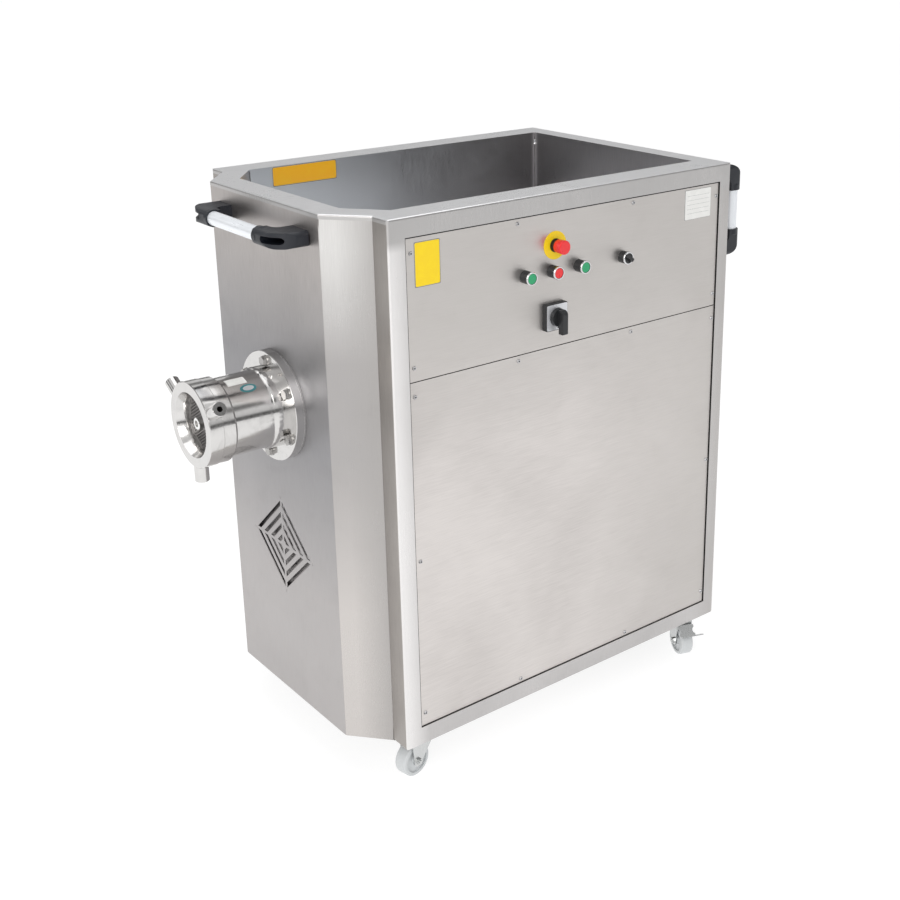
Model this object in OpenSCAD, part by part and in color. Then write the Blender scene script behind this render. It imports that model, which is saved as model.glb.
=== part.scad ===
// Free-standing industrial meat mincer on casters: a folded-sheet body with an open hopper,
// a horizontal feed screw that pushes through a barrel, knife and perforated plate on the left
// end, a geared motor inside, a control panel, push handles and four casters.
// X runs along the body, Y from the control side to the back, Z up. The origin is on the floor.

/* [Body] */
// Length of the frame
body_l = 938; // [900:1:1000]
// Depth of the frame
body_w = 712; // [690:1:740]
// Height of the body from the underside of the frame to the hopper rim
body_h = 1150; // [1130:1:1180]
// Width of the frame's border round the panels
bar = 40; // [36:1:44]
// Depth of the frame's folded channel
frame_d = 50; // [40:1:56]
// Sheet thickness of the frame
frame_t = 2.5; // [2:0.5:3]
// Sheet thickness of covers and panels
sheet_t = 2; // [1.5:0.5:2.5]
// How far the left end cover stands out
cover_out = 70; // [60:1:80]
// Depth taken by each slanted side of the left end cover
cover_slant = 82; // [70:1:90]
// Height of the line between the control panel and the access panel
divider_z = 818; // [800:1:840]

/* [Hopper] */
// Height of the rim band
rim_h = 10; // [8:1:14]
// Radius of the rim's outer edges
rim_r = 4; // [2:0.5:6]
// Width of the rim at the long sides
rim_w = 72; // [66:1:80]
// Height where the walls start to slope
wall_z = 1000; // [960:1:1040]
// Radius of the trough round the feed screw
trough_r = 72; // [70:1:76]

/* [Mincing head] */
// Distance of the screw's axis from the control side
axis_y = 340; // [330:1:370]
// Height of the screw's axis above the underside of the frame
axis_z = 708; // [700:1:720]
// Radius of the barrel's flange
flange_r = 119; // [116:1:124]
// Radius of the barrel
barrel_r = 83.5; // [82:0.5:85]
// Radius of the feed bore
bore_r = 63; // [62:0.5:64]
// Radius of the ring nut
nut_r = 91; // [89:0.5:95]
// Distance of the ring nut's front face from the end cover
nut_a = 200; // [196:1:210]
// Length of the ring nut's lugs
lug_l = 34; // [25:1:45]
// Radius of the holes in the mincing plate
plate_hole_r = 2.4; // [1.5:0.1:3]

/* [Controls] */
// How far the cam switch's grip stands out from the frame's front
front_reach = 38; // [34:1:42]

/* [Casters] */
// Height of the casters
caster_h = 100; // [98:1:106]
// Radius of the wheels
wheel_r = 37.5; // [35:0.5:38]
// Width of the wheels
wheel_w = 32; // [28:1:32]
// Offset of the wheel's axle from the swivel
trail = 28; // [24:1:30]

/* [Hidden] */
$fn = 64;
e = 1;  // how far a cutting shape runs past a face

// Frame openings
ring_h = body_h - rim_h;
open_x0 = bar - 1;
open_x1 = body_l - bar + 5.5;
open_z0 = bar;
open_z1 = ring_h - bar + 10;
lip_w = 22;
panel_y = 3;
lip_y = panel_y + sheet_t;
panel_gap = 3;
rail_x = [bar, 705, 800, body_l - sheet_t];
gusset = 92;
gusset_t = 5;
gusset_z = frame_t;

// Hopper opening: its right end, its left end and its two slanted corners
hop_x0 = -9;
hop_x1 = body_l - 53;
hop_y0 = rim_w;
hop_y1 = body_w - rim_w;
hop_slant = [65, 80];
hop_t = 2.5;
trough_x1 = 640;
trough_end_z = 790;
slope_z = 730;

// Half widths of the vent's diamond along Y and Z
vent_half = [120, 108];
vent_at = [358, 371];
vent_rings = 4;
vent_pitch = 1 / vent_rings;
vent_open = 0.12;
vent_spoke = 3.5;
vent_stud_out = 6;
baffle_gap = 9;
baffle_grow = 14;
baffle_t = 1.5;

// The cable gland's place on the right end, as Y and Z
gland_at = [560, 120];
gland_r = 10;
gland_bore_r = 5;

// Screw places on the front and the back, as X and Z
edge_x = [52.5, 895];
row_x = [314, 635];
control_screws = concat([for (x = edge_x, z = [847, 1077.5]) [x, z]], [for (x = row_x) [x, 1097]]);
access_screws = concat([for (x = edge_x, z = [70.5, 428, 787]) [x, z]],
  [for (x = row_x, z = [50, 805.6]) [x, z]]);
back_screws = concat([for (x = edge_x, z = [70.5, 428, 787, 1077.5]) [x, z]],
  [for (x = row_x, z = [50, 1100]) [x, z]]);
panel_screw_r = 2.5;

// Positions along the mincing head, measured outwards from the end cover
flange_a = 23;
ring_a = 5;
nut_back_a = nut_a - 62;
plate_a0 = nut_a - 46;
plate_a1 = nut_a - 28;
plate_gap = 0.3;
boss_a = plate_a1 + 15;
pin_a = boss_a - 3;
pin_r = 6.95;
knife_a0 = plate_a0 - 16;
bolt_pcd_r = 100.5;
neck_a = flange_a + 22;
neck_out = 4.5;
bolt_r = 6;
lug_r = 15;
lug_bore_r = 6;
lug_a = nut_a - 15.5;
screw_r = 60;
screw_pitch = 95;
screw_x1 = 628;

// Drive train
shaft_r = 22;
run_gap = 0.05;
base_x1 = 684;
gbox_x0 = 720;
gbox_x1 = 842;
gbox_wall = 10;
gbox_hw = 122;
gbox_z0 = 356;
gbox_z1 = 832;
m_out = 4;
m_in = 3;
z_out = 51;
z_mid_small = 17;
z_mid_big = 54;
z_motor = 18;
mid_z = axis_z - m_out * (z_out + z_mid_small) / 2;
motor_z = mid_z - m_in * (z_mid_big + z_motor) / 2;
out_gear_x = [737, 773];
mid_gear_x = [785, 810];
mid_shaft_r = 15;
motor_shaft_r = 14;
motor_x0 = 340;
motor_r = 92;
bearing_out_r = 40;
bearing_mid_r = 28;
bearing_t = 8;

// Controls: centre of each on the panel, as X and Z
stop_at = [413, 1038];
forward_at = [332, 984];
halt_at = [404, 984];
reverse_at = [478, 984];
selector_at = [606, 982];
cam_at = [408, 887];
bezel_r = 14.3;
cap_r = 11.5;
bezel_out = 22;
selector_out = 17;
panel_hole_r = 11.2;
block_half = [15, 18];
block_d = 38;
collar_r = 13;
head_r = 15;
head_y = [-30, -9];
collar_y = -13;
stem_r = 6;
disc_r = 30;
disc_t = 1.2;
cam_size = 58;
cam_plate_y = -11;
cam_plate_t = 1.5;
cam_pin_r = 6;

// Handles
handle_r = 15;
handle_off = 57;
left_bracket_l = 96;
right_bracket_l = 62;
bracket_w = 32;
lip_r = 18.5;
bracket_t = 17;
left_handle_z = 1096;
left_handle_span = [262, 456];
right_handle_z = [981, 1074];
right_handle_y = 48;
tube_in = 30;
handle_reach = handle_off + lip_r;

// Casters: swivel centres and headings
swivel_in = [72, 55];
caster_at = [[swivel_in[0], swivel_in[1]], [body_l - swivel_in[0] + 2, swivel_in[1]],
  [swivel_in[0], body_w - swivel_in[1]], [body_l - swivel_in[0] + 2, body_w - swivel_in[1]]];
caster_yaw = [190, 250, 168, 205];
plate_t = 3.5;
plate_bolt = 30;
plate_bolt_r = 4;
king_r = 8;
race_r = 23;
fork_z = -8;
fork_in = wheel_w / 2 + 2;
fork_t = 3;
axle_r = 4;
axle_h = wheel_r - caster_h;
pedal_pivot = [36, -19];
pedal_pin_r = 3;

screw_head_h = 2.2;
x_min = -cover_out - nut_a;
x_max = body_l + handle_reach;
y_min = -front_reach;
y_max = body_w;

// ---------- shared shapes ----------

// From body coordinates (left front lower corner of the frame) to the part's own frame
module place() {
  translate([-(x_min + x_max) / 2, -(y_min + y_max) / 2, caster_h]) children();
}

// A box from one corner to the opposite one
module box(a, b) {
  translate(a) cube(b - a);
}

// A cylinder along X, from x0 to x1, centred at y, z
module rod_x(x0, x1, y, z, r, r2 = -1) {
  translate([x0, y, z]) rotate([0, 90, 0])
    cylinder(h = x1 - x0, r1 = r, r2 = r2 < 0 ? r : r2);
}

// A cylinder along Y, from y0 to y1, centred at x, z
module rod_y(x, z, y0, y1, r, r2 = -1) {
  translate([x, y1, z]) rotate([90, 0, 0])
    cylinder(h = y1 - y0, r1 = r2 < 0 ? r : r2, r2 = r);
}

// A cylinder along X on the screw's axis, by distance out from the end cover
module head_rod(a0, a1, r, r2 = -1) {
  translate([-cover_out - a0, axis_y, axis_z]) rotate([0, -90, 0])
    cylinder(h = a1 - a0, r1 = r, r2 = r2 < 0 ? r : r2);
}

// Moves a shape drawn along Z from the origin onto the head, at distance a from the cover
module on_head(a) {
  translate([-cover_out - a, axis_y, axis_z]) rotate([0, -90, 0]) children();
}

// The waste between a square corner at the origin and its round of radius r
module corner_bite(r) {
  difference() {
    translate([-e, -e]) square(r + e);
    translate([r, r]) circle(r);
  }
}

// A rectangle whose named corners are round: lower left, lower right, upper right, upper left
module round_rect(w, h, r) {
  difference() {
    square([w, h]);
    if (r[0] > 0) corner_bite(r[0]);
    if (r[1] > 0) translate([w, 0]) mirror([1, 0]) corner_bite(r[1]);
    if (r[2] > 0) translate([w, h]) rotate(180) corner_bite(r[2]);
    if (r[3] > 0) translate([0, h]) mirror([0, 1]) corner_bite(r[3]);
  }
}

// A slot with round ends, centred, l long overall along X and w wide
module slot_2d(l, w) {
  square([l - w, w], center = true);
  for (s = [-1, 1]) translate([s * (l - w) / 2, 0]) circle(w / 2);
}

// Mirrors a shape to the back of the body as well
module front_and_back() {
  children();
  translate([0, body_w, 0]) mirror([0, 1, 0]) children();
}

// ---------- frame ----------

// The U-shaped channel ring round the front, open to the inside
module frame_ring() {
  difference() {
    intersection() {
      linear_extrude(ring_h) round_rect(body_l, frame_d, [6, 5, 0, 0]);
      translate([0, frame_d, 0]) rotate([90, 0, 0])
        linear_extrude(frame_d) round_rect(body_l, ring_h, [4, 8, 0, 0]);
    }
    box([open_x0, -e, open_z0], [open_x1, frame_d + e, open_z1]);
    difference() {
      box([frame_t, frame_t, frame_t], [body_l - frame_t, frame_d + e, ring_h - frame_t]);
      box([open_x0 - frame_t, 0, open_z0 - frame_t],
        [open_x1 + frame_t, frame_d + 2 * e, open_z1 + frame_t]);
    }
  }
}

// The lip behind the panels' edges, and on the front the rail behind the divider
module panel_lip(with_rail) {
  difference() {
    box([open_x0 - e, lip_y, open_z0 - e], [open_x1 + e, lip_y + frame_t, open_z1 + e]);
    box([open_x0 + lip_w, 0, open_z0 + lip_w], [open_x1 - lip_w, frame_d, open_z1 - lip_w]);
  }
  if (with_rail)
    box([open_x0, lip_y, divider_z - lip_w], [open_x1, lip_y + frame_t, divider_z + lip_w]);
}

// A channel along Y, open at its top or its underside
module rail_y(x, z, open_up) {
  difference() {
    box([x - bar, frame_d - e, z], [x, body_w - frame_d + e, z + bar]);
    box([x - bar + frame_t, frame_d - 2 * e, open_up ? z + frame_t : z - e],
      [x - frame_t, body_w - frame_d + 2 * e, open_up ? z + bar + e : z + bar - frame_t]);
  }
}

// The plate under each corner that carries a caster
module caster_gussets() {
  for (c = caster_at)
    translate([c[0] - gusset / 2, c[1] - gusset / 2, gusset_z]) cube([gusset, gusset, gusset_t]);
}

module main_frame() {
  color("lightgray") place() difference() {
    union() {
      front_and_back() frame_ring();
      panel_lip(true);
      translate([0, body_w, 0]) mirror([0, 1, 0]) panel_lip(false);
      for (x = rail_x) rail_y(x, 0, false);
      rail_y(body_l - sheet_t, ring_h - bar, true);
      caster_gussets();
    }
    front_screw_holes();
    translate([0, body_w, 0]) mirror([0, 1, 0]) screw_holes(back_screws);
    caster_bolt_holes(gusset_z + gusset_t + e);
  }
}

// ---------- hopper ----------

// Plan of a bay or opening with two slanted left corners, grown by g on every side
function bay_plan(x0, x1, y0, y1, sl, g) =
  let (turn = atan2(sl[1], sl[0]), k0 = tan(turn / 2), k1 = tan((90 - turn) / 2))
  [[x1 + g, y0 - g], [x1 + g, y1 + g], [x0 + sl[0] - g * k0, y1 + g],
   [x0 - g, y1 - sl[1] + g * k1], [x0 - g, y0 + sl[1] - g * k1], [x0 + sl[0] - g * k0, y0 - g]];

// The sloping and straight walls, seen from the front
function side_profile(g, top) =
  let (k = tan((90 - atan2(wall_z - trough_end_z, hop_x1 - trough_x1)) / 2))
  [[hop_x0 - g, top], [hop_x1 + g, top], [hop_x1 + g, wall_z - g * k],
   [trough_x1 + g, trough_end_z - g * k], [trough_x1 + g, axis_z - trough_r - g],
   [hop_x0 - g, axis_z - trough_r - g]];

// The walls seen from the end, without the round trough
function end_profile(g, top) =
  let (k0 = tan((90 - atan2(wall_z - slope_z, axis_y - trough_r - hop_y0)) / 2),
       k1 = tan((90 - atan2(wall_z - slope_z, hop_y1 - axis_y - trough_r)) / 2))
  [[hop_y0 - g, top], [hop_y0 - g, wall_z - g * k0], [axis_y - trough_r - g, slope_z - g * k0],
   [axis_y - trough_r - g, axis_z], [axis_y + trough_r + g, axis_z],
   [axis_y + trough_r + g, slope_z - g * k1], [hop_y1 + g, wall_z - g * k1], [hop_y1 + g, top]];

// The hopper's inner space, grown by g, up to height top
module funnel(g, top) {
  intersection() {
    linear_extrude(top) polygon(bay_plan(hop_x0, hop_x1, hop_y0, hop_y1, hop_slant, g));
    translate([0, body_w, 0]) rotate([90, 0, 0]) linear_extrude(body_w)
      polygon(side_profile(g, top));
    translate([-cover_out, 0, 0]) rotate([90, 0, 90]) linear_extrude(cover_out + body_l) union() {
      polygon(end_profile(g, top));
      translate([axis_y, axis_z]) circle(trough_r + g);
    }
  }
}

// Everything under a top edge of radius rim_r that runs along Y at x = 0, the body towards +X
module edge_round(len) {
  translate([0, len, 0]) rotate([90, 0, 0]) linear_extrude(2 * len)
    round_rect(2 * body_l, body_h, [0, 0, 0, rim_r]);
}

// The rim band over the frame
module rim_main() {
  intersection() {
    box([0, 0, ring_h], [body_l, body_w, body_h]);
    linear_extrude(body_h) round_rect(body_l, body_w, [6, 5, 5, 6]);
    translate([0, body_w, 0]) rotate([90, 0, 0]) linear_extrude(body_w)
      round_rect(body_l, body_h, [0, 0, rim_r, rim_r]);
    rotate([90, 0, 90]) linear_extrude(body_l) round_rect(body_w, body_h, [0, 0, rim_r, rim_r]);
  }
}

// The rim band over the left end cover
module rim_bay() {
  turn = atan2(cover_out, cover_slant);
  intersection() {
    translate([0, 0, ring_h]) linear_extrude(rim_h) polygon(cover_plan(0, 30));
    translate([-cover_out, 0, 0]) edge_round(body_w);
    translate([0, frame_d, 0]) rotate([0, 0, turn]) edge_round(body_w);
    translate([0, body_w - frame_d, 0]) rotate([0, 0, -turn]) edge_round(body_w);
  }
}

// The welded tube and flange that carry the barrel behind the end cover
module neck() {
  rod_x(-cover_out + sheet_t, -cover_out + sheet_t + 10, axis_y, axis_z, flange_r);
  rod_x(-cover_out + sheet_t, hop_x0, axis_y, axis_z, trough_r + hop_t);
}

module hopper() {
  color("gainsboro") place() difference() {
    union() {
      difference() {
        union() {
          rim_main();
          rim_bay();
        }
        box([hop_t, hop_t, 0], [body_l - hop_t, body_w - hop_t, body_h - hop_t]);
        linear_extrude(body_h - hop_t) polygon(cover_plan(hop_t, 30));
      }
      funnel(hop_t, body_h);
      neck();
    }
    funnel(0, body_h + e);
    rod_x(-cover_out - e, hop_x0 + e, axis_y, axis_z, bore_r + 1);
    rod_x(trough_x1 - e, trough_x1 + hop_t + e, axis_y, axis_z, shaft_r + 1);
    flange_bolt_holes(bolt_r + run_gap);
  }
}

// ---------- covers and panels ----------

// Plan of the left end cover, moved inwards by t, reaching x1 inside the frame
function cover_plan(t, x1) =
  let (len = norm([cover_out, cover_slant]), in_y = frame_d + t * len / cover_out,
       edge_y = in_y + cover_slant * (cover_out - t) / cover_out)
  [[x1, in_y], [0, in_y], [-cover_out + t, edge_y],
   [-cover_out + t, body_w - edge_y], [0, body_w - in_y], [x1, body_w - in_y]];

// One quarter of the vent's slots; s is a slot's outer edge as a share of the diamond
module vent_quarter() {
  for (i = [1 : vent_rings])
    let (s = i * vent_pitch, q = s - vent_open, u = vent_half[0], v = vent_half[1], w = vent_spoke)
      polygon([[w, v * s - w * v / u], [u * s - w * u / v, w],
        [u * q - w * u / v, w], [w, v * q - w * v / u]]);
}

// Puts a shape drawn along X at each corner of the vent's diamond, just outside its slots
module vent_corners() {
  for (p = [[1, 0], [-1, 0], [0, 1], [0, -1]])
    translate([0, vent_at[0] + p[0] * (vent_half[0] + vent_stud_out),
      vent_at[1] + p[1] * (vent_half[1] + vent_stud_out)]) children();
}

// The plate held on four studs behind the vent's slots
module vent_baffle() {
  x0 = -cover_out + sheet_t + baffle_gap;
  u = vent_half[0] + baffle_grow;
  v = vent_half[1] + baffle_grow;
  translate([x0, vent_at[0], vent_at[1]]) rotate([90, 0, 90]) linear_extrude(baffle_t)
    polygon([[u, 0], [0, v], [-u, 0], [0, -v]]);
  vent_corners() rod_x(x0 - baffle_gap - e, x0 + e, 0, 0, 2);
}

module left_end_cover() {
  color("silver") place() difference() {
    union() {
      linear_extrude(ring_h) difference() {
        polygon(cover_plan(0, 0));
        polygon(cover_plan(sheet_t, e));
      }
      front_and_back() box([0, frame_d, bar], [20, frame_d + sheet_t, ring_h]);
    }
    rod_x(-cover_out - e, 0, axis_y, axis_z, bore_r + 1);
    flange_bolt_holes(bolt_r + 0.5);
    translate([-cover_out - e, vent_at[0], vent_at[1]]) rotate([90, 0, 90])
      linear_extrude(sheet_t + 2 * e) for (a = [0, 1], b = [0, 1])
        mirror([a, 0]) mirror([0, b]) vent_quarter();
    vent_corners() rod_x(-cover_out - e, -cover_out + 0.4, 0, 0, 3);
  }
  color("silver") place() vent_baffle();
}

module right_end_panel() {
  color("silver") place() difference() {
    box([body_l - sheet_t, frame_d, 0], [body_l, body_w - frame_d, ring_h]);
    rod_x(body_l - 2 * sheet_t, body_l + e, gland_at[0], gland_at[1], gland_r + 0.2);
  }
}

module cable_gland() {
  thread_l = 20;
  nut_h = 6;
  nut_corner_r = 15;
  dome_l = 16;
  color("dimgray") place() difference() {
    union() {
      rod_x(body_l - thread_l, body_l, gland_at[0], gland_at[1], gland_r);
      translate([body_l, gland_at[0], gland_at[1]]) rotate([0, 90, 0])
        cylinder(h = nut_h, r = nut_corner_r, $fn = 6);
      rod_x(body_l + nut_h, body_l + nut_h + dome_l, gland_at[0], gland_at[1], gland_r + 2.5, gland_r);
    }
    rod_x(body_l - thread_l - e, body_l + nut_h + dome_l + e, gland_at[0], gland_at[1], gland_bore_r);
  }
}

module base_plate() {
  color("silver") place() difference() {
    box([panel_gap, frame_d + panel_gap, bar],
      [base_x1, body_w - frame_d - panel_gap, bar + sheet_t]);
    for (x = [200 : 60 : 560], y = [200, body_w - 200])
      translate([x, y, bar - e]) linear_extrude(sheet_t + 2 * e) rotate(90) slot_2d(120, 12);
  }
}

// A flat panel in the frame's opening, from z0 to z1
module flat_panel(z0, z1) {
  box([open_x0 + panel_gap, panel_y, z0], [open_x1 - panel_gap + 1, lip_y, z1]);
}

// Holes for the screws at the given places, through the panel and the lip
module screw_holes(places) {
  for (p = places) rod_y(p[0], p[1], -e, lip_y + frame_t + e, panel_screw_r + run_gap);
}

module front_screw_holes() {
  screw_holes(control_screws);
  screw_holes(access_screws);
}

module control_panel() {
  color("silver") place() difference() {
    flat_panel(divider_z + 1, open_z1 - panel_gap);
    screw_holes(control_screws);
    for (p = [stop_at, forward_at, halt_at, reverse_at, selector_at, cam_at])
      rod_y(p[0], p[1], -e, lip_y + e, panel_hole_r);
  }
}

module front_access_panel() {
  color("silver") place() difference() {
    flat_panel(open_z0 + 2, divider_z - 1);
    screw_holes(access_screws);
  }
}

module rear_panel() {
  color("silver") place() translate([0, body_w, 0]) mirror([0, 1, 0]) difference() {
    flat_panel(open_z0 + 2, open_z1 - panel_gap);
    screw_holes(back_screws);
  }
}

// A pan-head screw with a hexagon socket
module pan_screw(p) {
  socket_d = 1.4;
  tip = 4;
  head = [3.6, 4.7];
  difference() {
    union() {
      rod_y(p[0], p[1], panel_y, lip_y + frame_t + tip, panel_screw_r);
      rod_y(p[0], p[1], panel_y - screw_head_h, panel_y, head[0], head[1]);
    }
    translate([p[0], panel_y - screw_head_h + socket_d, p[1]]) rotate([90, 0, 0])
      cylinder(h = socket_d + 2 * e, r = 1.8, $fn = 6);
  }
}

module panel_screws() {
  color("white") place() {
    for (p = concat(control_screws, access_screws)) pan_screw(p);
    translate([0, body_w, 0]) mirror([0, 1, 0]) for (p = back_screws) pan_screw(p);
  }
}

module electrical_box() {
  box_at = [90, 66, bar + sheet_t];
  box_size = [300, 130, 380];
  wall = 2;
  color("lightsteelblue") place() translate(box_at) difference() {
    cube(box_size);
    translate([wall, 2 * wall, wall]) cube(box_size - [2 * wall, 3 * wall, 2 * wall]);
    translate([box_size[0] / 2 - 30, wall + 3, box_size[2] - wall - e]) cube([60, 60, wall + 2 * e]);
  }
}

// ---------- mincing head ----------

// The six bolt holes through flange, cover and neck
module flange_bolt_holes(r) {
  for (i = [0 : 5]) on_head(-20) rotate(60 * i)
    translate([bolt_pcd_r, 0, 0]) cylinder(h = 60, r = r, $fn = 32);
}

module mounting_ring() {
  color("silver") place() difference() {
    head_rod(0, ring_a, flange_r);
    head_rod(-e, ring_a + e, bore_r + 1);
    flange_bolt_holes(bolt_r + 0.5);
  }
}

// Shallow blind holes round the barrel's neck
module neck_pockets() {
  for (a = [-28, -128]) on_head(neck_a - 11) rotate(a)
    translate([barrel_r, 0, 0]) rotate([0, 90, 0]) cylinder(h = neck_out + e, r = 5, $fn = 32);
}

module feed_barrel() {
  color("whitesmoke") place() difference() {
    union() {
      head_rod(ring_a, flange_a - 1, flange_r);
      head_rod(flange_a - 1, flange_a, flange_r, flange_r - 1);
      head_rod(flange_a - e, neck_a, barrel_r + neck_out);
      head_rod(neck_a, neck_a + 10, barrel_r + neck_out, barrel_r);
      head_rod(neck_a, nut_back_a, barrel_r);
      head_rod(nut_back_a, plate_a1, barrel_r - 1.5);
    }
    head_rod(-e, plate_a0 + e, bore_r);
    head_rod(plate_a0, plate_a1 + e, bore_r + 2);
    flange_bolt_holes(bolt_r + 0.5);
    neck_pockets();
  }
}

module flange_bolts() {
  head_h = 7.5;
  washer_h = 2;
  color("gainsboro") place() for (i = [0 : 5]) on_head(0) rotate(60 * i)
    translate([bolt_pcd_r, 0, 0]) {
      translate([0, 0, flange_a]) cylinder(h = washer_h, r = 12, $fn = 32);
      translate([0, 0, flange_a + washer_h]) cylinder(h = head_h, r = 11, $fn = 6);
      translate([0, 0, -sheet_t - 9]) cylinder(h = flange_a + sheet_t + 10, r = bolt_r, $fn = 32);
    }
}

// One hollow turning lug, welded on the ring nut
module lug(a) {
  on_head(lug_a) rotate(a) translate([nut_r - 4, 0, 0]) rotate([0, 90, 0]) difference() {
    union() {
      cylinder(h = lug_l + 3, r = lug_r);
      translate([0, 0, lug_l + 3]) cylinder(h = 1, r1 = lug_r, r2 = lug_r - 1);
    }
    translate([0, 0, lug_l - 16]) cylinder(h = 30, r = lug_bore_r, $fn = 32);
  }
}

module ring_nut() {
  groove_a = nut_a - 30;
  step = 1.2;
  mouth_r = 69;
  throat_r = 61;
  throat_a = nut_a - 20;
  back_bevel = 6;
  front_bevel = 1.5;
  color("gainsboro") place() difference() {
    union() {
      head_rod(nut_back_a + plate_gap, nut_back_a + back_bevel, nut_r - 6.5, nut_r - step);
      head_rod(nut_back_a + back_bevel, groove_a, nut_r - step);
      head_rod(groove_a, nut_a - front_bevel, nut_r);
      head_rod(nut_a - front_bevel, nut_a, nut_r, nut_r - front_bevel);
      for (a = [60, 180, 300]) lug(a);
    }
    difference() {
      head_rod(groove_a - 0.8, groove_a + 0.8, nut_r + e);
      head_rod(groove_a - e, groove_a + e, nut_r - step - 0.8);
    }
    head_rod(nut_back_a - e, plate_a1 + plate_gap, barrel_r - 1.5 + run_gap);
    head_rod(plate_a1, nut_a, throat_r);
    head_rod(throat_a, nut_a + 0.01, throat_r, mouth_r);
  }
}

module mincing_plate() {
  hub_r = 13;
  pitch = 2 * plate_hole_r + 1.9;
  rim = 58;
  row_h = pitch * sqrt(3) / 2;
  rows = floor(rim / row_h);
  color("dimgray") place() {
    difference() {
      head_rod(plate_a0, plate_a1, bore_r + 1.95);
      head_rod(plate_a0 - e, plate_a1 + e, hub_r + run_gap);
      on_head(plate_a0 - e) for (j = [-rows : rows], i = [-rows - 2 : rows + 2])
        let (x = (i + (j % 2 == 0 ? 0 : 0.5)) * pitch, y = j * row_h, d = norm([x, y]))
          if (d > hub_r + plate_hole_r + 1.5 && d < rim - plate_hole_r)
            translate([x, y, 0]) cylinder(h = 22, r = plate_hole_r, $fn = 16);
    }
    // Hub bush, a solid of its own in the middle of the plate
    difference() {
      union() {
        head_rod(plate_a0, boss_a - 1, hub_r);
        head_rod(boss_a - 1, boss_a, hub_r, hub_r - 1);
      }
      head_rod(plate_a0 - e, boss_a + e, pin_r + run_gap);
    }
  }
}

module knife() {
  hub_r = 26;
  blade_r = 58;
  blade_w = 17;
  thick = plate_a0 - plate_gap - knife_a0;
  color("silver") place() on_head(knife_a0) difference() {
    union() {
      cylinder(h = thick, r = hub_r);
      intersection() {
        cylinder(h = thick, r = blade_r);
        for (i = [0 : 3]) rotate(90 * i) rotate([90, 0, 90]) linear_extrude(blade_r + e)
          polygon([[-blade_w / 2, thick], [-blade_w / 2 + 5, 2], [blade_w / 2, 0],
            [blade_w / 2, thick - 4], [blade_w / 2 - 5, thick]]);
      }
    }
    translate([0, 0, thick / 2]) cube([30.1, 30.1, 2 * thick], center = true);
  }
}

module knife_stud() {
  stud = 30;
  color("silver") place() on_head(knife_a0) {
    translate([-stud / 2, -stud / 2, 0]) cube([stud, stud, plate_a0 - plate_gap - knife_a0]);
    cylinder(h = pin_a - knife_a0, r = pin_r, $fn = 48);
  }
}

// Outline of the screw seen along its axis: a core with one flight, wide at its root
module screw_section() {
  core_r = 26;
  root = 25;
  tip = 16;
  sides = 12;
  polygon(concat(
    [for (i = [0 : sides - 2]) core_r * [cos(root + i * (360 - 2 * root) / (sides - 2)),
      sin(root + i * (360 - 2 * root) / (sides - 2))]],
    [for (a = [-tip, 0, tip]) screw_r * [cos(a), sin(a)]]));
}

module feed_screw() {
  len = screw_x1 + cover_out + knife_a0;
  steps = 24;
  corners = 14;
  color("silver") place() translate([screw_x1 - len, axis_y, axis_z]) rotate([0, 90, 0])
    linear_extrude(height = len, twist = -360 * len / screw_pitch,
      slices = round(steps * len / screw_pitch), $fn = corners) screw_section();
}

// ---------- drive ----------

// Angle between the start of an involute and its point at radius r, in degrees
function involute(base, r) =
  let (t = sqrt(max(0, pow(r / base, 2) - 1))) t * 180 / PI - atan(t);

// Outline of a spur gear with pressure angle 20 degrees and a little backlash
function gear_outline(m, z) =
  let (pitch_r = m * z / 2, base = pitch_r * cos(20), root = pitch_r - 1.25 * m,
       tip = pitch_r + 0.9 * m, play = 0.2 * 57.3 / pitch_r,
       half = function(r) 90 / z - play + involute(base, pitch_r) - involute(base, r),
       radii = [root, base + 0.2 * m, pitch_r, (pitch_r + tip) / 2, tip])
  [for (i = [0 : z - 1], k = [0 : 9])
    let (r = k < 5 ? radii[k] : radii[9 - k], side = k < 5 ? -1 : 1,
         a = 360 * i / z + side * half(max(r, base + 0.2 * m)))
    r * [cos(a), sin(a)]];

// A gear along X from x0 to x1 with its centre at height z, turned by a
module gear(m, teeth, x0, x1, z, a) {
  translate([x0, axis_y, z]) rotate([0, 90, 0]) linear_extrude(x1 - x0) rotate(a)
    polygon(gear_outline(m, teeth));
}

module drive_shaft() {
  color("silver") place() rod_x(screw_x1, gbox_x1 + 6, axis_y, axis_z, shaft_r);
}

module output_gear() {
  color("slategray") place() difference() {
    gear(m_out, z_out, out_gear_x[0], out_gear_x[1], axis_z, 0);
    rod_x(out_gear_x[0] - e, out_gear_x[1] + e, axis_y, axis_z, shaft_r);
    for (i = [0 : 5]) translate([0, axis_y, axis_z]) rotate([60 * i, 0, 0])
      rod_x(out_gear_x[0] - e, out_gear_x[1] + e, 0, 62, 18);
  }
}

module intermediate_shaft() {
  color("slategray") place() {
    rod_x(gbox_x0 + 2, gbox_x1 + 6, axis_y, mid_z, mid_shaft_r);
    gear(m_out, z_mid_small, out_gear_x[0] - 2, out_gear_x[1] + 2, mid_z, 180 + 180 / z_mid_small);
    gear(m_in, z_mid_big, mid_gear_x[0], mid_gear_x[1], mid_z, 0);
  }
}

module shaft_seal() {
  color("black") place() difference() {
    rod_x(trough_x1 + hop_t, trough_x1 + hop_t + 14, axis_y, axis_z, 40);
    rod_x(trough_x1, trough_x1 + hop_t + 15, axis_y, axis_z, shaft_r + run_gap);
  }
}

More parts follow.
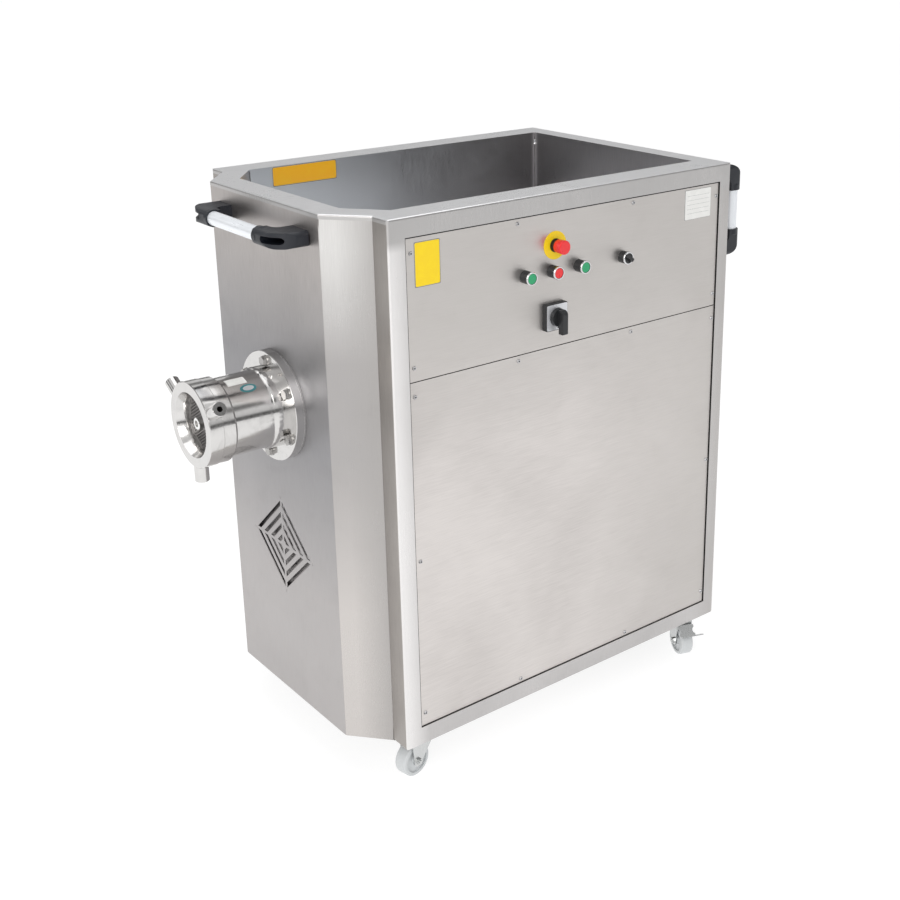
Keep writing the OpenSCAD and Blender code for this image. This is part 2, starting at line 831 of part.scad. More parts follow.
module gearbox_housing() {
  color("steelblue") place() difference() {
    box([gbox_x0, axis_y - gbox_hw, gbox_z0], [gbox_x1, axis_y + gbox_hw, gbox_z1]);
    box([gbox_x0 + gbox_wall, axis_y - gbox_hw + gbox_wall, gbox_z0 + gbox_wall],
      [gbox_x1 + e, axis_y + gbox_hw - gbox_wall, gbox_z1 - gbox_wall]);
    rod_x(gbox_x0 - e, gbox_x0 + gbox_wall + e, axis_y, axis_z, bearing_out_r);
    rod_x(gbox_x0 - e, gbox_x0 + gbox_wall + e, axis_y, mid_z, bearing_mid_r);
    rod_x(gbox_x0 - e, gbox_x0 + gbox_wall + e, axis_y, motor_z, 20);
  }
}

module gearbox_cover() {
  color("steelblue") place() difference() {
    box([gbox_x1, axis_y - gbox_hw, gbox_z0], [gbox_x1 + gbox_wall, axis_y + gbox_hw, gbox_z1]);
    rod_x(gbox_x1 - e, gbox_x1 + bearing_t, axis_y, axis_z, bearing_out_r);
    rod_x(gbox_x1 - e, gbox_x1 + bearing_t, axis_y, mid_z, bearing_mid_r);
  }
}

// A plain bearing ring along X
module bearing(x0, x1, z, r_out, r_in) {
  difference() {
    rod_x(x0, x1, axis_y, z, r_out);
    rod_x(x0 - e, x1 + e, axis_y, z, r_in + run_gap);
  }
}

module gearbox_bearings() {
  color("white") place() for (x = [gbox_x0 + gbox_wall - bearing_t, gbox_x1]) {
    bearing(x, x + bearing_t, axis_z, bearing_out_r, shaft_r);
    bearing(x, x + bearing_t, mid_z, bearing_mid_r, mid_shaft_r);
  }
}

module motor_body() {
  cap = 12;
  fin_t = 3;
  fins = 18;
  term_x = [560, 660];
  term_half = 40;
  color("steelblue") place() difference() {
    union() {
      rod_x(motor_x0, gbox_x0 - cap, axis_y, motor_z, motor_r);
      rod_x(gbox_x0 - cap, gbox_x0, axis_y, motor_z, motor_r + 10);
      for (i = [0 : fins - 1]) translate([0, axis_y, motor_z]) rotate([360 * (i + 0.5) / fins, 0, 0])
        translate([motor_x0 + cap, -fin_t / 2, motor_r - 2])
          cube([gbox_x0 - motor_x0 - 3 * cap, fin_t, cap]);
      box([term_x[0], axis_y - motor_r - 50, motor_z - term_half],
        [term_x[1], axis_y - motor_r + 20, motor_z + term_half]);
    }
    rod_x(motor_x0 + cap, gbox_x0 - 2 * cap, axis_y, motor_z, 60.6);
    rod_x(motor_x0 - e, gbox_x0 + e, axis_y, motor_z, motor_shaft_r + run_gap);
  }
}

module motor_rotor() {
  color("silver") place() {
    rod_x(motor_x0 - 45, mid_gear_x[1] + 2, axis_y, motor_z, motor_shaft_r);
    rod_x(motor_x0 + 60, gbox_x0 - 80, axis_y, motor_z, 60);
    gear(m_in, z_motor, mid_gear_x[0] - 2, mid_gear_x[1] + 2, motor_z, 180 + 180 / z_motor);
  }
}

module motor_fan() {
  blades = 7;
  blade_t = 3;
  color("dimgray") place() difference() {
    union() {
      rod_x(motor_x0 - 42, motor_x0 - 14, axis_y, motor_z, 24);
      for (i = [0 : blades - 1]) translate([0, axis_y, motor_z]) rotate([360 * i / blades, 0, 0])
        translate([motor_x0 - 42, -blade_t / 2, 20]) cube([26, blade_t, 58]);
    }
    rod_x(motor_x0 - 50, motor_x0, axis_y, motor_z, motor_shaft_r);
  }
}

module fan_cowl() {
  color("dimgray") place() difference() {
    rod_x(motor_x0 - 56, motor_x0 + 10, axis_y, motor_z, motor_r + 1.6);
    rod_x(motor_x0 - 54, motor_x0 + 11, axis_y, motor_z, motor_r);
    for (r = [0 : 8], a = [0 : 45 : 315]) translate([motor_x0 - 60, axis_y, motor_z])
      rotate([a + 22.5 * (r % 2), 0, 0]) translate([0, 0, 22 + 8 * r]) rotate([0, 90, 0])
        cylinder(h = 8, r = 3.2, $fn = 24);
  }
}

module gearbox_stand() {
  side = 8;
  flange = 20;
  color("gray") place() {
    box([gbox_x0, axis_y - gbox_hw - flange, gbox_z0 - side],
      [gbox_x1, axis_y + gbox_hw + flange, gbox_z0]);
    for (y = [axis_y - gbox_hw, axis_y + gbox_hw - side])
      box([gbox_x0, y, bar + side - e], [gbox_x1 - flange, y + side, gbox_z0 - side + e]);
    box([base_x1 + panel_gap, axis_y - gbox_hw - flange, bar],
      [gbox_x1, axis_y + gbox_hw + flange, bar + side]);
  }
}

// ---------- controls ----------

// The contact block behind the panel
module contact_block(at) {
  box([at[0] - block_half[0], lip_y + 8, at[1] - block_half[1]],
    [at[0] + block_half[0], lip_y + 8 + block_d, at[1] + block_half[1]]);
}

// The body of a push button or selector: housing standing out from the panel, front ring,
// contact block behind
module bezel(at, out = bezel_out) {
  color("black") place() difference() {
    union() {
      rod_y(at[0], at[1], -out + 4, panel_y, bezel_r - 0.9);
      rod_y(at[0], at[1], -out + 1, -out + 4, bezel_r);
      rod_y(at[0], at[1], -out, -out + 1, bezel_r - 0.8, bezel_r);
      rod_y(at[0], at[1], panel_y - e, lip_y + 8, panel_hole_r - 0.2);
      contact_block(at);
    }
    rod_y(at[0], at[1], -out - e, -2, cap_r + run_gap);
  }
}

// A push button's cap, slightly domed, that slides in its bezel
module cap(at, tint) {
  color(tint) place() {
    rod_y(at[0], at[1], -bezel_out + 1.5, -7, cap_r);
    rod_y(at[0], at[1], -bezel_out + 0.5, -bezel_out + 1.5, cap_r - 1, cap_r);
  }
}

module forward_bezel() {
  bezel(forward_at);
}
module halt_bezel() {
  bezel(halt_at);
}
module reverse_bezel() {
  bezel(reverse_at);
}
module selector_bezel() {
  bezel(selector_at, selector_out);
}
module forward_cap() {
  cap(forward_at, "green");
}
module halt_cap() {
  cap(halt_at, "red");
}
module reverse_cap() {
  cap(reverse_at, "green");
}

module selector_knob() {
  lever_w = 7;
  lever_root = 10.5;
  lever_tip = 4.5;
  lever_out = 13;
  color("black") place() {
    rod_y(selector_at[0], selector_at[1], -selector_out + 1, -7, cap_r);
    translate([selector_at[0], -selector_out + 1.5, selector_at[1]]) rotate([0, -45, 0])
      translate([-lever_w / 2, 0, 0]) rotate([90, 0, 90]) linear_extrude(lever_w)
        polygon([[0, -lever_root], [0, lever_root], [-lever_out, lever_tip], [-lever_out, -lever_tip]]);
  }
}

module stop_disc() {
  color("gold") place() difference() {
    rod_y(stop_at[0], stop_at[1], panel_y - disc_t, panel_y, disc_r);
    rod_y(stop_at[0], stop_at[1], -e, panel_y + e, panel_hole_r);
  }
}

module stop_collar() {
  color("black") place() difference() {
    union() {
      rod_y(stop_at[0], stop_at[1], collar_y, panel_y - disc_t, collar_r);
      rod_y(stop_at[0], stop_at[1], -2, panel_y - disc_t, collar_r + 1.5);
      rod_y(stop_at[0], stop_at[1], panel_y - 2, lip_y + 8, panel_hole_r - 0.2);
      contact_block(stop_at);
    }
    rod_y(stop_at[0], stop_at[1], collar_y - e, -2, stem_r + run_gap);
  }
}

module stop_head() {
  press = 4;
  edge = 2;
  color("red") place() difference() {
    union() {
      rod_y(stop_at[0], stop_at[1], head_y[0] + edge, head_y[1], head_r, head_r - 0.6);
      rod_y(stop_at[0], stop_at[1], head_y[0] + 0.6, head_y[0] + edge, head_r - 0.6, head_r);
      rod_y(stop_at[0], stop_at[1], head_y[0], head_y[0] + 0.6, head_r - 2, head_r - 0.6);
      rod_y(stop_at[0], stop_at[1], head_y[0] + 5, -7, stem_r);
    }
    difference() {
      rod_y(stop_at[0], stop_at[1], collar_y - press - 0.5, head_y[1] + e, collar_r + 0.3);
      rod_y(stop_at[0], stop_at[1], head_y[0], 0, stem_r);
    }
  }
}

// A square plate with round corners on the front, from y0 to y1
module square_plate(at, size, r, y0, y1) {
  translate([at[0] - size / 2, y1, at[1] - size / 2]) rotate([90, 0, 0])
    linear_extrude(y1 - y0) round_rect(size, size, [r, r, r, r]);
}

module cam_switch_body() {
  half = 24;
  color("black") place() difference() {
    union() {
      square_plate(cam_at, cam_size, 3, cam_plate_y + cam_plate_t, panel_y);
      rod_y(cam_at[0], cam_at[1], panel_y - e, lip_y + 2, panel_hole_r - 0.2);
      box([cam_at[0] - half, lip_y + 2, cam_at[1] - half], [cam_at[0] + half, lip_y + 60, cam_at[1] + half]);
    }
    rod_y(cam_at[0], cam_at[1], cam_plate_y - e, 20, cam_pin_r + run_gap);
  }
}

module cam_switch_plate() {
  color("lightgray") place() difference() {
    square_plate(cam_at, cam_size - 3, 3, cam_plate_y, cam_plate_y + cam_plate_t);
    rod_y(cam_at[0], cam_at[1], cam_plate_y - e, cam_plate_y + 3, 8);
  }
}

module cam_switch_knob() {
  base_r = 20;
  base_y = -20;
  grip_w = 13;
  grip_z = [-34, 18];
  color("black") place() union() {
    rod_y(cam_at[0], cam_at[1], cam_plate_y - 0.4, 15, cam_pin_r);
    rod_y(cam_at[0], cam_at[1], base_y, cam_plate_y - 0.4, base_r - 1, base_r);
    translate([cam_at[0] - grip_w / 2, 0, cam_at[1]]) rotate([90, 0, 90]) linear_extrude(grip_w)
      difference() {
        translate([-front_reach, grip_z[0]]) round_rect(front_reach + base_y + 1,
          grip_z[1] - grip_z[0], [3, 0, 0, 10]);
        translate([base_y - 3, grip_z[0] - e]) square([4, base_r * 0.7]);
      }
  }
}

// ---------- handles ----------

module left_handle_tube() {
  x = -cover_out - handle_off;
  color("white") place() translate([x, 0, left_handle_z]) difference() {
    rod_y(0, 0, left_handle_span[0] - tube_in, left_handle_span[1] + tube_in, handle_r);
    rod_y(0, 0, left_handle_span[0] - tube_in - e, left_handle_span[1] + tube_in + e, handle_r - 2);
  }
}

module right_handle_tubes() {
  x = body_l + handle_off;
  color("white") place() front_and_back() translate([x, right_handle_y, 0]) difference() {
    translate([0, 0, right_handle_z[0] - tube_in])
      cylinder(h = right_handle_z[1] - right_handle_z[0] + 2 * tube_in, r = handle_r);
    translate([0, 0, right_handle_z[0] - tube_in - e])
      cylinder(h = right_handle_z[1] - right_handle_z[0] + 2 * tube_in + 2 * e, r = handle_r - 2);
  }
}

// Points round one outer long edge of a bracket; side 1 is its lower edge, -1 its upper
function crown_edge(side) =
  let (r = 9, top = handle_off + bracket_t, mid = bracket_w / 2)
  [for (a = side > 0 ? [-90 : 30 : 0] : [0 : 30 : 90])
    [top - r + r * cos(a), mid - side * (mid - r) + r * sin(a)]];

// One elbow bracket of length len: X along the tube away from its middle, Y off the panel, Z across
module bracket(len) {
  inner = handle_off - bracket_t;
  top = handle_off + bracket_t;
  recess_x = 0.615 * len;
  screw_in = 20;
  screw_hole_r = 4.2;
  difference() {
    union() {
      intersection() {
        translate([0, 0, -bracket_w / 2]) linear_extrude(bracket_w) difference() {
          round_rect(len, top, [0, 4, 0.62 * len, 3]);
          translate([-e, -e]) square([14, inner + e]);
          translate([13, inner - 17]) circle(17);
          translate([13 - e, -e]) square([18, inner - 16]);
        }
        translate([0, 0, -bracket_w / 2]) rotate([90, 0, 90]) linear_extrude(len)
          polygon(concat([[0, bracket_w], [0, 0]], crown_edge(1), crown_edge(-1)));
        translate([0, top, 0]) rotate([90, 0, 0]) linear_extrude(top) translate([0, -bracket_w / 2])
          round_rect(len, bracket_w, [0, 11, 11, 0]);
      }
      translate([0, handle_off, 0]) rotate([0, 90, 0]) {
        cylinder(h = 12, r = lip_r);
        translate([0, 0, 12]) cylinder(h = 4, r1 = lip_r, r2 = bracket_w / 2 - 1);
      }
    }
    translate([-e, handle_off, 0]) rotate([0, 90, 0]) cylinder(h = tube_in + 1 + e, r = handle_r);
    translate([recess_x, top + e, 0]) rotate([90, 0, 0]) linear_extrude(top - 13)
      slot_2d(0.54 * len, 14);
    translate([len - screw_in, handle_off, 0]) rotate([90, 0, 0])
      cylinder(h = handle_off + e, r = screw_hole_r, $fn = 32);
  }
  translate([len - screw_in, 14, 0]) rotate([90, 0, 0]) difference() {
    cylinder(h = 14, r = screw_hole_r, $fn = 32);
    translate([0, 0, -e]) cylinder(h = 4, r = 2.3, $fn = 6);
  }
}

// The two brackets of a handle whose tube shows from s0 to s1 along Z, standing off along X
module bracket_pair(s0, s1, len) {
  translate([0, 0, s1]) rotate([0, -90, -90]) bracket(len);
  translate([0, 0, s0]) mirror([0, 0, 1]) rotate([0, -90, -90]) bracket(len);
}

module handle_brackets() {
  color("darkslategray") place() {
    translate([-cover_out, 0, left_handle_z]) rotate([-90, 0, 0]) mirror([1, 0, 0])
      bracket_pair(left_handle_span[0], left_handle_span[1], left_bracket_l);
    front_and_back() translate([body_l, right_handle_y, 0])
      bracket_pair(right_handle_z[0], right_handle_z[1], right_bracket_l);
  }
}

// ---------- casters ----------

// The four bolt places of each caster's plate
module caster_bolt_places() {
  for (c = caster_at, sx = [-1, 1], sy = [-1, 1])
    translate([c[0] + sx * plate_bolt, c[1] + sy * plate_bolt, 0]) children();
}

// The holes for those bolts, up to height top
module caster_bolt_holes(top) {
  caster_bolt_places() translate([0, 0, -e]) cylinder(h = top + e, r = plate_bolt_r + run_gap, $fn = 32);
}

module caster_plates() {
  half = 38;
  color("gainsboro") place() {
    difference() {
      for (c = caster_at) {
        translate([c[0] - half, c[1] - half, -plate_t]) linear_extrude(plate_t)
          round_rect(2 * half, 2 * half, [6, 6, 6, 6]);
        translate([c[0], c[1], fork_z - 5.5]) cylinder(h = 10, r = king_r);
        translate([c[0], c[1], fork_z - 8]) cylinder(h = 2.6, r = king_r + 3);
      }
      caster_bolt_places() translate([0, 0, -10]) cylinder(h = 12, r = plate_bolt_r + run_gap, $fn = 32);
    }
    caster_bolt_places() {
      translate([0, 0, -plate_t - 4]) cylinder(h = 4, r = 6.5, $fn = 6);
      translate([0, 0, -plate_t - 1]) cylinder(h = plate_t + 10, r = plate_bolt_r, $fn = 32);
    }
  }
}

module swivel_seals() {
  seal_h = -fork_z - plate_t - 0.4;
  color("saddlebrown") place() for (c = caster_at) translate([c[0], c[1], -plate_t - seal_h])
    difference() {
      cylinder(h = seal_h, r = race_r + 6);
      translate([0, 0, -e]) cylinder(h = seal_h + 2 * e, r = race_r + 0.4);
    }
}

// Puts a shape drawn with its swivel at the origin and its wheel towards +X onto caster i
module at_caster(i) {
  place() translate([caster_at[i][0], caster_at[i][1], 0]) rotate(caster_yaw[i]) children();
}

// Outline of a fork leg seen from the side
module fork_leg() {
  polygon([[-30, fork_z], [43, fork_z], [43, -30], [40, axle_h + 2], [trail, axle_h - 11],
    [trail - 11, axle_h - 4]]);
  translate([trail, axle_h]) circle(12);
}

module fork(i) {
  color("gainsboro") at_caster(i) {
    difference() {
      union() {
        for (s = [-1, 1]) translate([0, s * (fork_in + fork_t / 2) + fork_t / 2, 0])
          rotate([90, 0, 0]) linear_extrude(fork_t) fork_leg();
        box([-30, -fork_in - fork_t, fork_z - 4], [43, fork_in + fork_t, fork_z]);
        translate([0, 0, fork_z - e]) cylinder(h = -fork_z - plate_t - 0.4 + e, r = race_r);
      }
      translate([0, 0, -20]) cylinder(h = 20, r = king_r + run_gap);
      translate([0, 0, -20]) cylinder(h = 20 + fork_z - 5.1, r = king_r + 4);
      rod_y(trail, axle_h, -40, 40, axle_r + run_gap);
    }
    rod_y(trail, axle_h, -fork_in - fork_t - 8, fork_in + fork_t + 8, axle_r);
    for (s = [-1, 1]) translate([trail, s * (fork_in + fork_t + 2.75), axle_h])
      rotate([90, 0, 0]) cylinder(h = 5.5, r = 7.5, center = true, $fn = 6);
    if (i % 2 == 1)
      rod_y(pedal_pivot[0], pedal_pivot[1], -fork_in - fork_t / 2, fork_in + fork_t / 2, pedal_pin_r);
  }
}

module wheel(i) {
  half = wheel_w / 2;
  web = 4;
  edge = 5;
  color("ghostwhite") at_caster(i) translate([trail, 0, axle_h]) rotate([90, 0, 0])
    rotate_extrude() difference() {
      union() {
        translate([0, -half - 1]) square([12, wheel_w + 2]);
        translate([0, -half + web]) square([wheel_r - edge, wheel_w - 2 * web]);
        translate([wheel_r - edge - 4, -half]) square([4, wheel_w]);
        translate([wheel_r - edge, -half + edge]) square([edge, wheel_w - 2 * edge]);
        for (s = [-1, 1]) intersection() {
          translate([wheel_r - edge, s * (half - edge)]) circle(edge);
          translate([wheel_r - edge, -half]) square([edge, wheel_w]);
        }
      }
      translate([-e, -half - 2]) square([axle_r + 0.06 + e, wheel_w + 4]);
    }
}

// A brake pedal: a knuckle between the fork's legs, a wall before the wheel and a foot plate
module pedal(i) {
  arm = 15;
  wall = 21;
  foot = [-22, 36];
  color("gainsboro") at_caster(i) difference() {
    union() {
      rod_y(pedal_pivot[0], pedal_pivot[1], -arm, arm, 5.5);
      translate([0, arm, 0]) rotate([90, 0, 0]) linear_extrude(2 * arm)
        polygon([[36, -14], [48.5, -13], [48.5, -17], [36, -22]]);
      translate([0, wall, 0]) rotate([90, 0, 0]) linear_extrude(2 * wall)
        polygon([[46.5, -15.5], [48.5, -14], [66, -36], [64, -37.5]]);
      translate([0, foot[1], 0]) rotate([90, 0, 0]) linear_extrude(foot[1] - foot[0])
        polygon([[63.5, -36], [79, -27.8], [80, -30], [64.2, -37.6]]);
    }
    rod_y(pedal_pivot[0], pedal_pivot[1], -20, 20, pedal_pin_r + run_gap);
    for (s = [-1, 1]) translate([57, s * (wall + 4), -26]) rotate([0, 51.5, 0])
      cylinder(h = 12, r = 9, center = true);
  }
}

module front_left_fork() {
  fork(0);
}
module front_right_fork() {
  fork(1);
}
module rear_left_fork() {
  fork(2);
}
module rear_right_fork() {
  fork(3);
}
module front_left_wheel() {
  wheel(0);
}
module front_right_wheel() {
  wheel(1);
}
module rear_left_wheel() {
  wheel(2);
}
module rear_right_wheel() {
  wheel(3);
}
module front_brake_pedal() {
  pedal(1);
}
module rear_brake_pedal() {
  pedal(3);
}

main_frame();
hopper();
left_end_cover();
right_end_panel();
rear_panel();
base_plate();
control_panel();
front_access_panel();
panel_screws();
electrical_box();
cable_gland();
mounting_ring();
feed_barrel();
flange_bolts();
ring_nut();
mincing_plate();
knife();
knife_stud();
feed_screw();
drive_shaft();
shaft_seal();
gearbox_housing();
gearbox_cover();
gearbox_bearings();
output_gear();
intermediate_shaft();
motor_body();
motor_rotor();
motor_fan();
fan_cowl();
gearbox_stand();
stop_disc();
stop_collar();
stop_head();
forward_bezel();
halt_bezel();
reverse_bezel();
forward_cap();
halt_cap();
reverse_cap();
selector_bezel();
selector_knob();
cam_switch_body();
cam_switch_plate();
cam_switch_knob();
left_handle_tube();
right_handle_tubes();
handle_brackets();
caster_plates();
swivel_seals();
front_left_fork();
front_right_fork();
rear_left_fork();
rear_right_fork();
front_left_wheel();
front_right_wheel();
rear_left_wheel();
rear_right_wheel();
front_brake_pedal();
rear_brake_pedal();
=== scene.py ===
"""Looks of the meat mincer: materials, weld seams, blank plates, floor, lights and camera."""

import math

import bpy
from mathutils import Matrix, Vector


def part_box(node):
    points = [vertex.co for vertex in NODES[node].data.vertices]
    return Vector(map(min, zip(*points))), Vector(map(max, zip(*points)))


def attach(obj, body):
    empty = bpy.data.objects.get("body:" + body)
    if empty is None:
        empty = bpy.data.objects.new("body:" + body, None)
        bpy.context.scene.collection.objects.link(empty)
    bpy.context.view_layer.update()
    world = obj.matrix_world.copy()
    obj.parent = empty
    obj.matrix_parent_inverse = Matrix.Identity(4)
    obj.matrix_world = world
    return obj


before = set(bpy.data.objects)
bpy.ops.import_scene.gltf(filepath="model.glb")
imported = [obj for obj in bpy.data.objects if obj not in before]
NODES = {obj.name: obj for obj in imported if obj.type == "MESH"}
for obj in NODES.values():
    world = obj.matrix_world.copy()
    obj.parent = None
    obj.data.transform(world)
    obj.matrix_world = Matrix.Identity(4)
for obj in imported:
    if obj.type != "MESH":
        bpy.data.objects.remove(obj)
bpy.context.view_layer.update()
MM = 0.001

# ---------- places worked out from the frame ----------

FRAME_LO, FRAME_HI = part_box("main_frame")
PANEL_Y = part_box("control_panel")[0].y
COVER_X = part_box("left_end_cover")[0].x
BARREL_LO, BARREL_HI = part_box("feed_barrel")
RIM_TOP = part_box("hopper")[1].z
HEAD_Y = (BARREL_LO.y + BARREL_HI.y) / 2
HEAD_Z = (BARREL_LO.z + BARREL_HI.z) / 2


def body_point(x, y, z):
    """A place given in millimetres from the frame's lower left front corner."""
    return FRAME_LO + Vector((x, y, z)) * MM


# ---------- material helpers ----------


class Shade:
    """Builds one Principled material with short calls."""

    def __init__(self, name, color, rough, metal=0.0, **sockets):
        self.mat = bpy.data.materials.new(name)
        self.mat.use_nodes = True
        self.tree = self.mat.node_tree
        self.shader = self.tree.nodes["Principled BSDF"]
        self.shader.inputs["Base Color"].default_value = (*color, 1)
        self.shader.inputs["Roughness"].default_value = rough
        self.shader.inputs["Metallic"].default_value = metal
        for socket, value in sockets.items():
            self.shader.inputs[socket.replace("_", " ")].default_value = value
        self.color = color
        self.base = None
        self.normal = None

    def node(self, kind, **settings):
        made = self.tree.nodes.new(kind)
        for key, value in settings.items():
            setattr(made, key, value)
        return made

    def link(self, a, b):
        self.tree.links.new(a, b)

    def coords(self, stretch=(1, 1, 1)):
        source = self.node("ShaderNodeTexCoord")
        mapping = self.node("ShaderNodeMapping")
        mapping.inputs["Scale"].default_value = stretch
        self.link(source.outputs["Object"], mapping.inputs["Vector"])
        return mapping.outputs["Vector"]

    def noise(self, scale, detail, stretch=(1, 1, 1), distortion=0.0):
        made = self.node("ShaderNodeTexNoise")
        made.inputs["Scale"].default_value = scale
        made.inputs["Detail"].default_value = detail
        made.inputs["Distortion"].default_value = distortion
        self.link(self.coords(stretch), made.inputs["Vector"])
        return made.outputs["Fac"]

    def ramp(self, value, lo, hi, out_lo=0.0, out_hi=1.0):
        made = self.node("ShaderNodeMapRange")
        made.inputs["From Min"].default_value = lo
        made.inputs["From Max"].default_value = hi
        made.inputs["To Min"].default_value = out_lo
        made.inputs["To Max"].default_value = out_hi
        self.link(value, made.inputs["Value"])
        return made.outputs["Result"]

    def math(self, kind, a, b):
        made = self.node("ShaderNodeMath", operation=kind)
        for socket, value in zip(made.inputs, (a, b)):
            if isinstance(value, (int, float)):
                socket.default_value = value
            else:
                self.link(value, socket)
        return made.outputs[0]

    def rough_from(self, value):
        self.link(value, self.shader.inputs["Roughness"])

    def tint(self, value, other):
        """Moves the colour towards another one by value, on top of any tint given before."""
        mix = self.node("ShaderNodeMix", data_type="RGBA")
        first, second = [i for i in mix.inputs if i.type == "RGBA"]
        if self.base is None:
            first.default_value = (*self.color, 1)
        else:
            self.link(self.base, first)
        second.default_value = (*other, 1)
        self.link(value, mix.inputs[0])
        self.base = [o for o in mix.outputs if o.type == "RGBA"][0]
        self.link(self.base, self.shader.inputs["Base Color"])

    def axis(self, name):
        """How far along X, Y or Z a point of the surface lies, in metres."""
        split = self.node("ShaderNodeSeparateXYZ")
        self.link(self.coords(), split.inputs[0])
        return split.outputs[name]

    def seam_distance(self, x, y):
        """How far a place on either wall lies from the upright corner at x, y."""
        across = [self.math("ABSOLUTE", self.math("SUBTRACT", self.axis(n), v), 0.0)
                  for n, v in (("X", x), ("Y", y))]
        return self.math("MAXIMUM", *across)

    def bump(self, height, strength, distance):
        made = self.node("ShaderNodeBump")
        made.inputs["Strength"].default_value = strength
        made.inputs["Distance"].default_value = distance
        self.link(height, made.inputs["Height"])
        if self.normal is not None:
            self.link(self.normal, made.inputs["Normal"])
        self.normal = made.outputs["Normal"]
        self.link(self.normal, self.shader.inputs["Normal"])


def brushed_steel(name, color, rough, grain, depth=0.05, blotch=0.10, metal=1.0, wave=0.0, painted_light_fades=(),
                  seams=()):
    """Satin stainless steel. grain stretches the noise: its small number is the brushing direction.
    fades are painted light and shade: soft changes of colour along an axis, each given as axis, start,
    end, other colour.
    seams are upright corners, x and y, with a bright line along them."""
    s = Shade(name, color, rough, metal)
    lines = s.noise(60, 3, stretch=grain)
    clouds = s.noise(2.2, 3, distortion=0.6)
    smudges = s.noise(11, 5, distortion=1.2)
    fine = s.ramp(lines, 0.3, 0.7, rough - 0.06, rough + 0.07)
    soft = s.ramp(clouds, 0.35, 0.65, -blotch / 2, blotch / 2)
    wiped = s.ramp(smudges, 0.55, 0.75, 0.0, blotch / 2)
    s.rough_from(s.math("ADD", s.math("ADD", fine, soft), wiped))
    darker = tuple(c * 0.86 for c in color)
    s.tint(s.ramp(s.math("ADD", clouds, s.math("MULTIPLY", lines, 0.5)), 0.55, 0.95), darker)
    s.bump(lines, depth, 0.0002)
    if wave:
        s.bump(s.noise(9, 2, distortion=0.4), wave, 0.006)
    # Painted light and shade: each fade moves the colour along an axis
    for axis, start, end, other in painted_light_fades:
        s.tint(s.ramp(s.axis(axis), start, end), other)
    brighter = tuple(c * 2.1 for c in color)
    for x, y in seams:
        s.tint(s.ramp(s.seam_distance(x, y), 3 * MM, 13 * MM, 0.8, 0.0), brighter)
    return s.mat


def machined_steel(name, color, rough, ring_axis="x"):
    """Turned stainless steel with fine rings round one axis and soft handling marks."""
    s = Shade(name, color, rough, 1.0)
    stretch = {"x": (900, 3, 3), "y": (3, 900, 3), "z": (3, 3, 900)}[ring_axis]
    rings = s.noise(1, 2, stretch=stretch)
    marks = s.noise(35, 5, distortion=0.8)
    fine = s.ramp(rings, 0.3, 0.7, rough - 0.03, rough + 0.05)
    s.rough_from(s.math("ADD", fine, s.ramp(marks, 0.5, 0.8, 0.0, 0.10)))
    s.tint(s.ramp(marks, 0.45, 0.8, 0.0, 0.5), tuple(c * 0.82 for c in color))
    s.bump(rings, 0.06, 0.0001)
    return s.mat


def moulded(name, color, rough, grain=0.12, scale=900, wear=0.08, coat=0.0):
    """Plastic with a fine moulded grain, slight unevenness and rubbed patches."""
    s = Shade(name, color, rough, 0.0, Coat_Weight=coat)
    skin = s.noise(scale, 2)
    uneven = s.noise(45, 3, distortion=0.5)
    s.rough_from(s.ramp(uneven, 0.3, 0.7, rough - wear, rough + wear))
    s.tint(s.ramp(uneven, 0.5, 0.8, 0.0, 0.35), tuple(min(1, c * 1.25 + 0.006) for c in color))
    s.bump(skin, grain, 0.0002)
    return s.mat


def painted(name, color, rough):
    """Paint on castings: orange peel and dusty, scuffed patches."""
    s = Shade(name, color, rough, 0.0, Coat_Weight=0.2)
    peel = s.noise(260, 2)
    scuffs = s.noise(18, 6, distortion=1.0)
    s.rough_from(s.ramp(scuffs, 0.35, 0.75, rough, rough + 0.25))
    s.tint(s.ramp(scuffs, 0.55, 0.85), tuple(c * 0.6 + 0.03 for c in color))
    s.bump(peel, 0.15, 0.0004)
    return s.mat


def rubber(name, color):
    """Matt rubber with a fine skin and grey dust."""
    s = Shade(name, color, 0.75)
    dust = s.noise(70, 5)
    s.rough_from(s.ramp(dust, 0.3, 0.7, 0.62, 0.88))
    s.tint(s.ramp(dust, 0.5, 0.85, 0.0, 0.4), (0.09, 0.09, 0.09))
    s.bump(s.noise(500, 2), 0.2, 0.0003)
    return s.mat


ALONG_X, ALONG_Y, ALONG_Z = (0.4, 14, 14), (14, 0.4, 14), (14, 14, 0.4)
SEAM_X, SEAM_Y0, SEAM_Y1 = body_point(885, 0, 0).x, body_point(0, 72, 0).y, body_point(0, 640, 0).y


def fade(axis, start, end, color):
    """Painted light and shade: a soft change of colour between two distances along X or Z from the
    frame's corner.
    """
    place = {"X": lambda v: body_point(v, 0, 0).x, "Z": lambda v: body_point(0, 0, v).z}[axis]
    return axis, place(start), place(end), color


